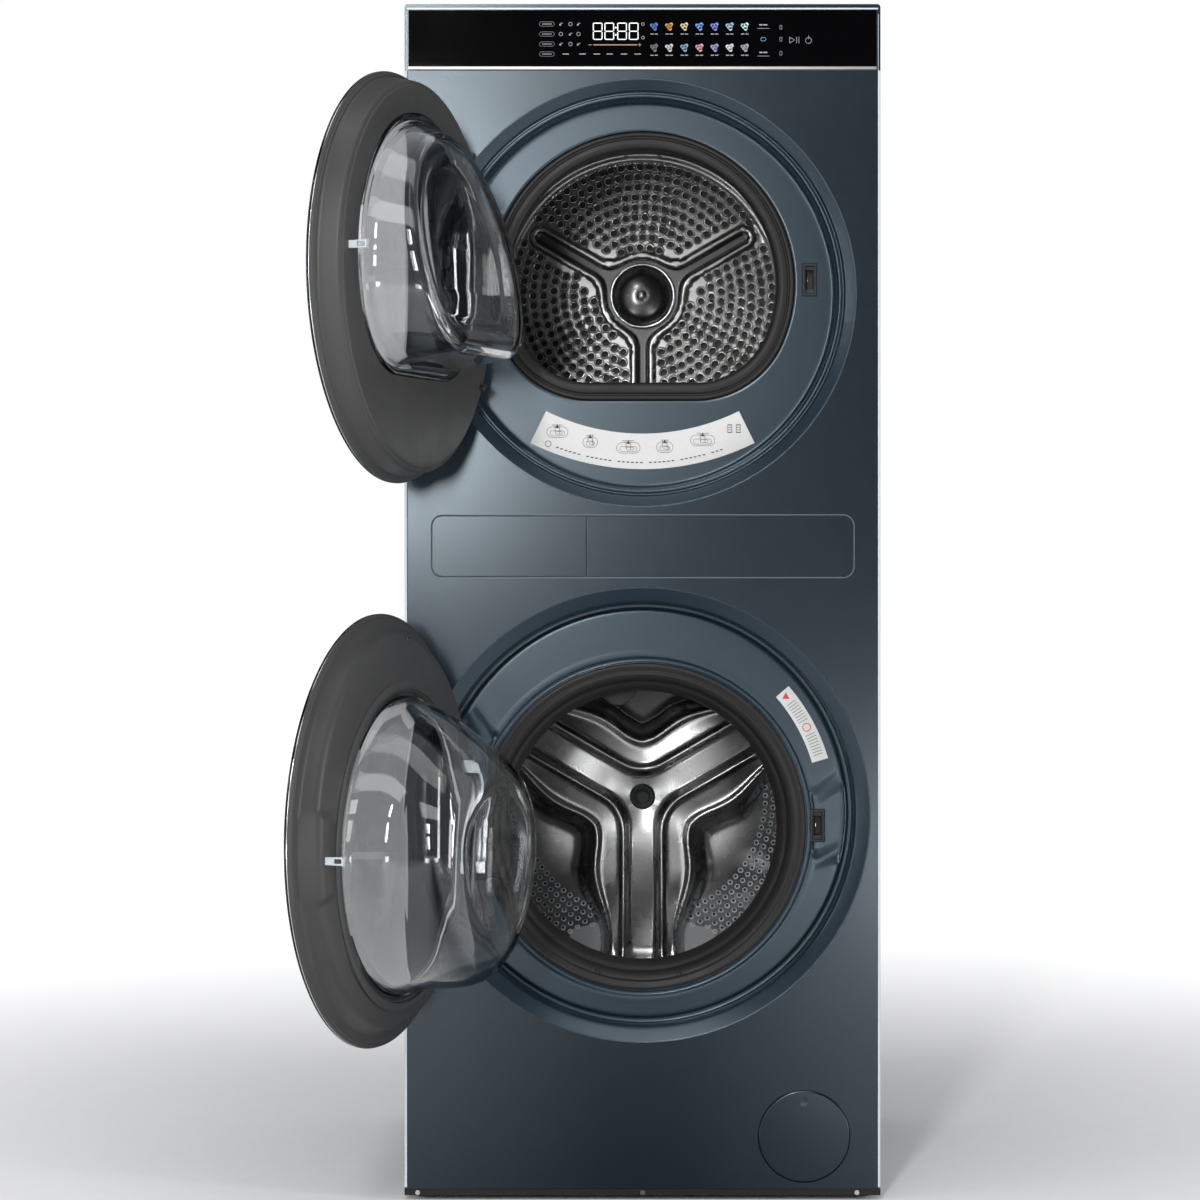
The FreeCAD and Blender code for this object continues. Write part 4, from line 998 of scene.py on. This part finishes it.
def washer_bowl():
    """The deep glass: waisted at its sides, sloping at its top, with a rounded, dished tip."""

    def ring(depth, side, top, foot):
        points = []
        for x, _, z in circle(1, 0, 0):
            reach_z = top if z > 0 else foot
            points.append((side * x, FRONT + depth, MOUTH_Z + reach_z * z))
        return points

    outside = [(23.3, 170, 170, 170), (23.3, 181.4, 181.4, 181.4), (24.4, 182, 182, 182),
               (27.1, 181.5, 181.5, 181.5), (27.6, 176, 176, 176), (30, 172, 173, 174),
               (38, 168.5, 171.5, 172.5), (48, 164, 169, 170), (58, 159, 165.5, 167.5),
               (66, 154.5, 161, 166.5), (76, 151, 154, 166), (88, 150.5, 146, 165),
               (100, 152, 137, 164), (112, 152, 127.5, 161.5), (124, 149, 118, 157.5),
               (134, 144, 109, 150.5), (141, 136, 100, 141), (146, 124, 89, 127),
               (148.5, 108, 76, 110), (147, 94, 64, 96), (144, 84, 56, 86), (142, 60, 42, 62),
               (141.5, 30, 22, 32)]
    inside = [(137.5, 30, 22, 32), (138, 60, 42, 62), (140, 84, 56, 86), (143, 95, 65, 97),
              (144.2, 107, 75, 109), (142, 121, 86, 124), (137.4, 132, 96.5, 137),
              (130.6, 139.6, 105, 146), (121.6, 144.4, 113.6, 153.2), (110.4, 147.4, 123, 157.2),
              (99, 147.4, 132.6, 159.6), (88, 146, 141.6, 160.6), (76, 146.6, 149.6, 161.6),
              (65, 150, 156.6, 162.2), (56, 154.6, 161, 163.2), (46, 159.6, 164.6, 165.6),
              (36, 164.2, 167.2, 168.2), (27, 167.4, 168.4, 169.2)]
    rows = [ring(*row) for row in outside + inside]
    return bowl_skin(rows, len(outside))


def cover(radius, z):
    """The domed outer pane, 4 mm thick, with a polished edge."""
    return lathe(set_off([(0.01, -23), (radius * 0.3, -22.4, 20), (radius * 0.6, -20, 20),
                  (radius * 0.88, -14.5, 12), (radius - 1.5, -8.6, 2),
                  (radius, -7.2, 1), (radius - 0.4, -5.6, 0.6), (radius - 6, -5.2, 1),
                  (radius * 0.88, -10.5, 12), (radius * 0.6, -16, 20),
                  (radius * 0.3, -18.4, 20), (0.01, -19)], 0, FRONT), z)


def hook_frame(x, z, face):
    """A bright hook: a shank that ends in an open rectangular loop, and its barb."""
    thick = 1.6
    low, high = face + 1, face + 15.5
    shank = bar((x - 3, face - 17, z - 4.4), (x + 0.6, low + 2, z + 4.4))
    upper = bar((x - 3, low, z + 2.6), (x + 0.6, high, z + 4.6))
    lower = bar((x - 3, low, z - 4.6), (x + 0.6, high, z - 2.6))
    end = bar((x - 3, high - thick, z - 4.6), (x + 3.9, high, z + 4.6))
    return merge(shank, upper, lower, end)


def make_door(name, radius, centre, liner, bowl):
    body = name + "_door"
    piece(name + "_pane", cover(radius, centre), "smoked_glass", body,
          [name + "_door_cover"], sharp=50)
    piece(name + "_liner", liner, "charcoal_plastic", body,
          [name + "_door_liner"], sharp=40)
    piece(name + "_bowl", bowl, "clear_glass", body,
          [name + "_door_glass"], sharp=60)
    trim = lathe([(radius - 0.2, FRONT - 5.1, 0.2), (radius + 0.2, FRONT - 4.5, 0.3),
                  (radius - 0.2, FRONT - 3.9, 0.2), (radius - 1.2, FRONT - 4.5)], centre)
    piece(name + "_rim_trim", trim, "bright_steel", body)


def bumper(x, z, base, length):
    """A small rubber buffer on the back of a door."""
    return lathe([(0.01, base), (4.2, base, 0.5), (4.2, base + length - 1, 0.8),
                  (3.2, base + length, 0.6), (0.01, base + length)], z, x, 24)


def make_doors():
    back = FRONT + 30
    make_door("dryer", DRYER_DOOR_R, DRYER_Z, dryer_liner(), dryer_bowl())
    for place, x, z in (("top", -150, DRYER_Z + 161), ("foot", -184, DRYER_Z - 121)):
        piece("dryer_bumper_" + place, bumper(x, z, back - 1, 7.3), "black_rubber",
              "dryer_door")
    make_door("washer", WASHER_DOOR_R, WASHER_Z, washer_liner(), washer_bowl())
    piece("washer_bumper", bumper(-196, WASHER_Z + 118, FRONT + 18, 9), "black_rubber",
          "washer_door")
    for place, angle in (("top", 97), ("foot", 262)):
        x = 226 * math.cos(math.radians(angle))
        z = WASHER_Z + 226 * math.sin(math.radians(angle))
        screw = lathe([(0.01, FRONT + 19), (3.6, FRONT + 19, 0.3), (3.6, FRONT + 21.2, 0.8),
                       (1.2, FRONT + 21.6, 0.3), (0.8, FRONT + 20.6), (0.01, FRONT + 20.6)], z, x, 20)
        piece("washer_screw_" + place, screw, "dark_hub", "washer_door")
    # The hooks take the light diffuse paint in place of bright steel: painted sheen for the steel's
    # reflections.
    piece("dryer_hook", hook_frame(*DRYER_LATCH), "painted_highlight_line",
          "dryer_hook", ["dryer_door_hook"], bevel=0.5)
    piece("washer_hook", hook_frame(*WASHER_LATCH),
          "painted_highlight_line", "washer_hook", ["washer_door_hook"], bevel=0.5)


# ---------------------------------------------------------------- control panel graphics

def bar_mark(x, z, wide, tall, y):
    return plate([(x - wide / 2, z - tall / 2), (x + wide / 2, z - tall / 2),
                  (x + wide / 2, z + tall / 2), (x - wide / 2, z + tall / 2)], y, y + 0.15)


def frame_mark(x, z, wide, tall, line, y, count=20):
    """A thin outline with round ends."""
    half = wide / 2 - tall / 2

    def loop(radius):
        points = []
        for index in range(count):
            angle = TURN * (index + 0.5) / count
            side = half if math.cos(angle) > 0 else -half
            points.append((x + side + radius * math.cos(angle), z + radius * math.sin(angle)))
        return points

    outer = loop(tall / 2)
    inner = loop(tall / 2 - line)
    rows = [[(px, depth, pz) for px, pz in outline] for outline, depth in
            ((outer, y), (outer, y + 0.15), (inner, y + 0.15), (inner, y))]
    return skin(rows, wrap=True)


def digit_marks(x, z, wide, tall, y):
    """All seven bars of one figure 8."""
    line = 1.15
    gap = 0.55
    marks = [bar_mark(x, z + side * (tall / 2 - line / 2), wide - 2 * line, line, y)
             for side in (-1, 0, 1)]
    marks += [bar_mark(x + side * (wide / 2 - line / 2), z + half * tall / 4, line,
                       tall / 2 - line - gap, y) for side in (-1, 1) for half in (-1, 1)]
    return merge(*marks)


def disc_mark(x, z, radius, y, sides=18):
    outline = [(x + radius * math.cos(TURN * i / sides), z + radius * math.sin(TURN * i / sides))
               for i in range(sides)]
    return plate(outline, y, y + 0.15)


def make_display():
    """Generic marks on the black glass: figures, pills, dashes and coloured discs."""
    glass_low, glass_high = reach("control_glass")
    y = glass_low.y - 0.15
    top = glass_high.z + 12.5
    glow(FINISHES["mark_white"], (0.8, 0.82, 0.82), 0.5)
    glow(FINISHES["mark_gold"], (0.5, 0.3, 0.15), 0.2)

    def show(name, marks, finish):
        piece(name, merge(*marks), finish, "cabinet")

    digits = [digit_marks(x, top - 39, 12.0, 21.5, y) for x in (-56, -41.5, -25.5, -11)]
    colon = [bar_mark(-33.5, top - 39 + rise, 2.0, 2.0, y) for rise in (-4.5, 4.5)]
    tips = [bar_mark(-65.5, top - 56, 4, 0.7, y), bar_mark(-3.5, top - 56, 4, 0.7, y),
            bar_mark(-3.5, top - 56, 0.7, 4, y)]
    show("display_figures", digits + colon, "mark_white")
    show("display_bar", [bar_mark(-34, top - 56, 55, 1.1, y)] + tips, "mark_gold")
    pills = [frame_mark(-119.5, top - 30 - 12.5 * row, 19, 6, 0.45, y) for row in range(4)]
    pills += [bar_mark(-119.5, top - 30 - 12.5 * row, 12, 1.3, y) for row in range(4)]
    show("display_pills", pills, "mark_grey")
    small = []
    for column, x in enumerate((-102, -90, -80)):
        for row in range(3):
            z = top - 30 - 12.5 * row
            if (column + row) % 2:
                small.append(frame_mark(x, z, 5, 5, 0.6, y))
            else:
                small += [disc_mark(x - 0.8, z - 0.8, 1.3, y, 5), bar_mark(x + 1, z + 1, 3, 0.6, y)]
    for x in (-96, -75, -57, -41, -23, -6):
        small.append(bar_mark(x, top - 67.5, 8, 1.1, y))
    for row in range(2):
        small.append(frame_mark(0.5, top - 30 - 17 * row, 4, 4, 0.6, y))
    show("display_icons", small, "mark_soft")

    colours = [(0.05, 0.12, 0.40), (0.55, 0.22, 0.06), (0.60, 0.48, 0.28), (0.10, 0.25, 0.65),
               (0.18, 0.20, 0.70), (0.30, 0.42, 0.58), (0.45, 0.70, 0.80), (0.10, 0.11, 0.13),
               (0.50, 0.50, 0.50), (0.16, 0.32, 0.45), (0.65, 0.30, 0.34), (0.25, 0.28, 0.48),
               (0.75, 0.76, 0.78), (0.35, 0.36, 0.38)]
    for index, colour in enumerate(colours):
        row, column = divmod(index, 7)
        x = 14.5 + column * 18.9
        z = top - 33 - 26.5 * row
        name = "programme_%d" % (index + 1)
        FINISHES[name] = shaded(name, colour, 0.5, grain=500, mottle=0.6)
        lumps = [disc_mark(x, z, 3.6, y, 5 + column), disc_mark(x + 2.5, z + 2.5, 2.6, y, 5),
                 disc_mark(x - 3, z + 1.5, 2.2, y, 6), disc_mark(x + 1, z - 3, 2.4, y, 7)]
        show(name, lumps, name)
        dash = [bar_mark(x - 2.6, z - 9.5, 4, 1.1, y), bar_mark(x + 2.6, z - 9.5, 4, 1.1, y)]
        show(name + "_dash", dash, "mark_soft")

    keys = []
    for z in (top - 31, top - 65.5):
        keys += [bar_mark(148, z, 4, 1.6, y), bar_mark(153.5, z, 5, 1.6, y),
                 bar_mark(151, z - 4.5, 15, 0.5, y)]
    for z in (top - 34, top - 49, top - 66.5):
        keys.append(frame_mark(173, z, 5, 7, 0.5, y, 4))
    keys += [bar_mark(184, top - 50, 0.6, 8, y), bar_mark(192.5, top - 50, 0.6, 8, y),
             bar_mark(195.5, top - 50, 0.6, 8, y)]
    for lean in (1, -1):
        keys.append(plate([(184, top - 50 + lean * 4), (184, top - 50 + lean * 3.3),
                           (190, top - 50), (190, top - 50 + lean * 0.5)], y, y + 0.15))
    keys += [frame_mark(207.5, top - 50.5, 8, 8, 0.55, y), bar_mark(207.5, top - 46.5, 0.6, 4.5, y)]
    show("touch_keys", keys, "mark_soft")
    show("touch_loop", [frame_mark(151, top - 49, 7, 5, 0.7, y)], "mark_blue")


# ---------------------------------------------------------------- labels

def sector(z, inner, outer, start, end, y, count=40):
    """A piece of a ring, between two angles in degrees."""
    angles = [math.radians(start + (end - start) * i / count) for i in range(count + 1)]
    outline = [(outer * math.cos(a), z + outer * math.sin(a)) for a in angles]
    outline += [(inner * math.cos(a), z + inner * math.sin(a)) for a in reversed(angles)]
    return plate(outline, y, y + 0.25)


def polar(z, radius, angle):
    return radius * math.cos(math.radians(angle)), z + radius * math.sin(math.radians(angle))


def make_labels():
    """Two plain paper labels with simple drawings and no words."""
    y = DRYER_FACE - 0.3
    middle = DRYER_Z + 100
    piece("care_label", sector(middle, 274.5, 319.3, -116.3, -63.7, y), "paper",
          "cabinet")
    mark = y - 0.12
    marks = []
    for index, angle in enumerate((-111.5, -103, -93.5, -84.5, -75)):
        x, z = polar(middle, 293, angle)
        wide = (27, 19, 30, 21, 31)[index]
        marks += [frame_mark(x, z, wide, 14, 0.55, mark, 36),
                  frame_mark(x, z - 1.5, wide - 8, 7, 0.5, mark, 30),
                  frame_mark(x + 2, z - 1, wide / 3, 4, 0.5, mark, 20),
                  bar_mark(x, z + 9, wide / 2, 0.6, mark), bar_mark(x - 3, z + 4, 0.6, 9, mark),
                  bar_mark(x + 3, z + 3, 0.6, 11, mark),
                  plate([(x - 2.5, z + 5), (x + 2.5, z + 5), (x, z + 10)], mark, mark + 0.1)]
    x, z = polar(middle, 292, -66.7)
    for side in (-1, 1):
        marks.append(frame_mark(x + side * 5.4, z, 10, 15, 0.8, mark, 4))
        marks += [bar_mark(x + side * 5.4, z + rise, 6, 0.7, mark) for rise in (-4.5, -1.5, 1.5, 4.5)]
    x, z = polar(middle, 311, -112.5)
    marks.append(frame_mark(x, z, 8, 8, 0.8, mark, 24))
    for index in range(38):
        if index % 7 != 6:
            x, z = polar(middle, 311, -110.2 + index * 1.05)
            marks.append(bar_mark(x, z, 3.4, 1.5, mark))
    piece("care_label_marks", merge(*marks), "ink", "cabinet")

    y = WASHER_FACE - 0.55
    piece("side_label", sector(WASHER_Z, 223, 244, 16.5, 41, y, 24), "paper",
          "cabinet")
    mark = y - 0.12
    lines = []
    for index in range(20):
        angle = 18.5 + index * 0.95
        if index not in (8, 9, 10, 11):
            x, z = polar(WASHER_Z, 233.5, angle)
            across = Vector((math.cos(math.radians(angle)), math.sin(math.radians(angle)))) * 6.5
            along = Vector((-across.y, across.x)).normalized() * 0.35
            lines.append(plate([(x - across.x - along.x, z - across.y - along.y),
                                (x + across.x - along.x, z + across.y - along.y),
                                (x + across.x + along.x, z + across.y + along.y),
                                (x - across.x + along.x, z - across.y + along.y)], mark, mark + 0.1))
    piece("side_label_lines", merge(*lines), "ink", "cabinet")
    x, z = polar(WASHER_Z, 233.5, 27.6)
    red = [frame_mark(x, z, 11, 11, 1.1, mark, 28)]
    x, z = polar(WASHER_Z, 233.5, 39.3)
    red.append(plate([(x - 4.5, z - 4), (x + 4.5, z - 4), (x, z + 4.5)], mark, mark + 0.1))
    piece("side_label_signs", merge(*red), "red_ink", "cabinet")


# ---------------------------------------------------------------- body details

def make_service_cover():
    """The round flap with a bright edge line and a pressed dimple."""
    low, high = reach("service_cover")
    x, z = (low.x + high.x) / 2, (low.z + high.z) / 2
    radius = (high.x - low.x) / 2
    disc = [(0.01, FRONT), (radius - 2, FRONT, 0.4), (radius, FRONT + 1, 0.6), (radius, FRONT + 3.4),
            (0.01, FRONT + 3.4)]
    piece("service_flap", lathe(disc, z, x, 160), "body_blue", "service_flap",
          ["service_cover"])
    dimple = [(5.8, FRONT - 0.05), (5.8, FRONT - 0.5, 0.3), (5.0, FRONT - 0.5, 0.3),
              (3.5, FRONT - 0.2, 1), (0.01, FRONT - 0.1), (0.01, FRONT - 0.05)]
    piece("service_dimple", lathe(dimple, z + 43, x, 40), "ring_blue", "service_flap")


def seam(low, high, corner, inner, outer):
    """A thin frame on the front plane, around a rounded field."""
    def outline(grow, y):
        points = []
        for turn, x, z in ((0, high.x - corner, high.z - corner), (1, low.x + corner, high.z - corner),
                           (2, low.x + corner, low.z + corner), (3, high.x - corner, low.z + corner)):
            for index in range(9):
                angle = (turn + index / 8) * math.pi / 2
                points.append((x + (corner + grow) * math.cos(angle), y,
                               z + (corner + grow) * math.sin(angle)))
        return points

    return skin([outline(inner, FRONT + 0.3), outline(inner, FRONT - 0.12),
                 outline(outer, FRONT - 0.12), outline(outer, FRONT + 0.3)], wrap=True)


def make_drawer_seam():
    """The dark gap around the drawer strip, and a painted highlight along the edge outside it."""
    low = reach("drawer_front")[0]
    high = reach("fixed_fascia")[1]
    piece("drawer_seam", seam(low, high, 12, 0.25, 1.6), "dark_gap_and_painted_shade", "cabinet",
          sharp=60)
    piece("drawer_seam_painted_highlight", seam(low, high, 12, 1.7, 2.5), "seam_painted_highlight", "cabinet",
          sharp=60)


def make_edges():
    """Painted highlights: light strips on the rounded front corners, and the silver line above the
    control glass painted as a highlight of the top cover's edge.
    """
    low, high = reach("front_panel")
    top = reach("control_housing")[1]
    # Light strips on the rounded front corners: painted highlights.
    for side, edge in ((-1, reach("side_panel_left")[0].x), (1, reach("side_panel_right")[1].x)):
        rows = []
        for z in (low.z + 2, top.z - 6, top.z - 5):
            row = []
            for radius, angles in ((3.9, range(8, 83, 6)), (3.5, range(82, 7, -6))):
                for angle in angles:
                    x = edge - side * (3.7 - radius * math.cos(math.radians(angle)))
                    row.append((x, FRONT + 3.7 - radius * math.sin(math.radians(angle)), z))
            rows.append(row)
        piece("painted_highlight_line_" + ("left" if side < 0 else "right"), skin(rows, caps=True),
              "painted_highlight_line", "cabinet", sharp=60)
    # A light line on the top cover's front edge: a painted highlight.
    line = bar((low.x + 3, FRONT - 0.3, top.z + 0.8), (high.x - 3, FRONT + 0.5, top.z + 2.8))
    piece("top_silver_line", line, "painted_highlight_line", "cabinet", bevel=0.15)
    foot = reach("control_glass")[0]
    sill = bar((low.x + 5, FRONT - 0.35, foot.z - 1.9), (high.x - 5, FRONT + 0.5, foot.z + 0.6))
    piece("glass_sill", sill, "black_glass", "cabinet", bevel=0.15)
    gap = bar((low.x + 5, FRONT - 0.35, foot.z - 7), (high.x - 5, FRONT + 0.5, foot.z - 5.2))
    piece("panel_seam", gap, "dark_gap_and_painted_shade", "cabinet", bevel=0.15)


def make_rear():
    """Pressed vents, a pressed frame and a round cap on the rear panel."""
    skin_y = reach("rear_panel")[1].y
    louvres = []
    for row in range(9):
        z = 1240 + row * 18
        louvres.append(merge(skin([
            [(-190, skin_y, z - 5), (190, skin_y, z - 5), (190, skin_y, z + 5), (-190, skin_y, z + 5)],
            [(-184, skin_y + 5, z - 3), (184, skin_y + 5, z - 3), (184, skin_y + 2, z + 3.6),
             (-184, skin_y + 2, z + 3.6)]], caps=True)))
    piece("rear_louvres", merge(*louvres), "galvanised_steel", "cabinet",
          bevel=1.2)
    rim = [(212, skin_y), (208, skin_y + 3, 2), (198, skin_y + 3, 2), (194, skin_y)]
    piece("rear_access_plate", lathe(rim, WASHER_AXIS, count=160), "galvanised_steel",
          "cabinet")
    centre = [(0.01, skin_y), (60, skin_y), (57, skin_y + 2.5, 1.5), (20, skin_y + 3.5, 4),
              (0.01, skin_y + 3.5)]
    piece("rear_cap", lathe(centre, DRYER_AXIS - 180, count=96), "grey_plastic",
          "cabinet")


BEVELS = {
    "control_housing": 0.6, "control_glass": 0.8, "trim_strip": 0.8, "fixed_fascia": 0.7,
    "drawer_front": 0.7, "hinge_brackets": 0.8, "drawer_tray": 0.8, "levelling_feet": 1.0,
    "cabinet_screws": 0.5, "drain_spigot": 0.6, "inlet_valves": 0.6, "cable_gland": 0.6,
    "lint_filter": 0.8, "filter_plug": 0.8, "dryer_door_hinge": 0.6, "washer_door_hinge": 0.6,
    "dryer_drum_lifters": 3.0, "washer_drum_lifters": 3.0, "counterweights": 2.0,
}


def dress_frame():
    """Give every CAD node its finish, and round the edges that catch the light."""
    slots = {part["node"]: part["material_slot"] for part in frame["record"]["subparts"]}
    for name, node in nodes.items():
        node.data.materials.clear()
        node.data.materials.append(FINISHES[slots[name]])
        if name in BEVELS:
            add_bevel(node, BEVELS[name])


add_camera()
add_stage()
FINISHES = {name: shaded(name, **paint) for name, paint in PAINTS.items()}
dress_frame()
make_rings()
make_seals()
make_drums()
make_doors()
make_display()
make_labels()
make_service_cover()
make_edges()
make_drawer_seam()
make_rear()
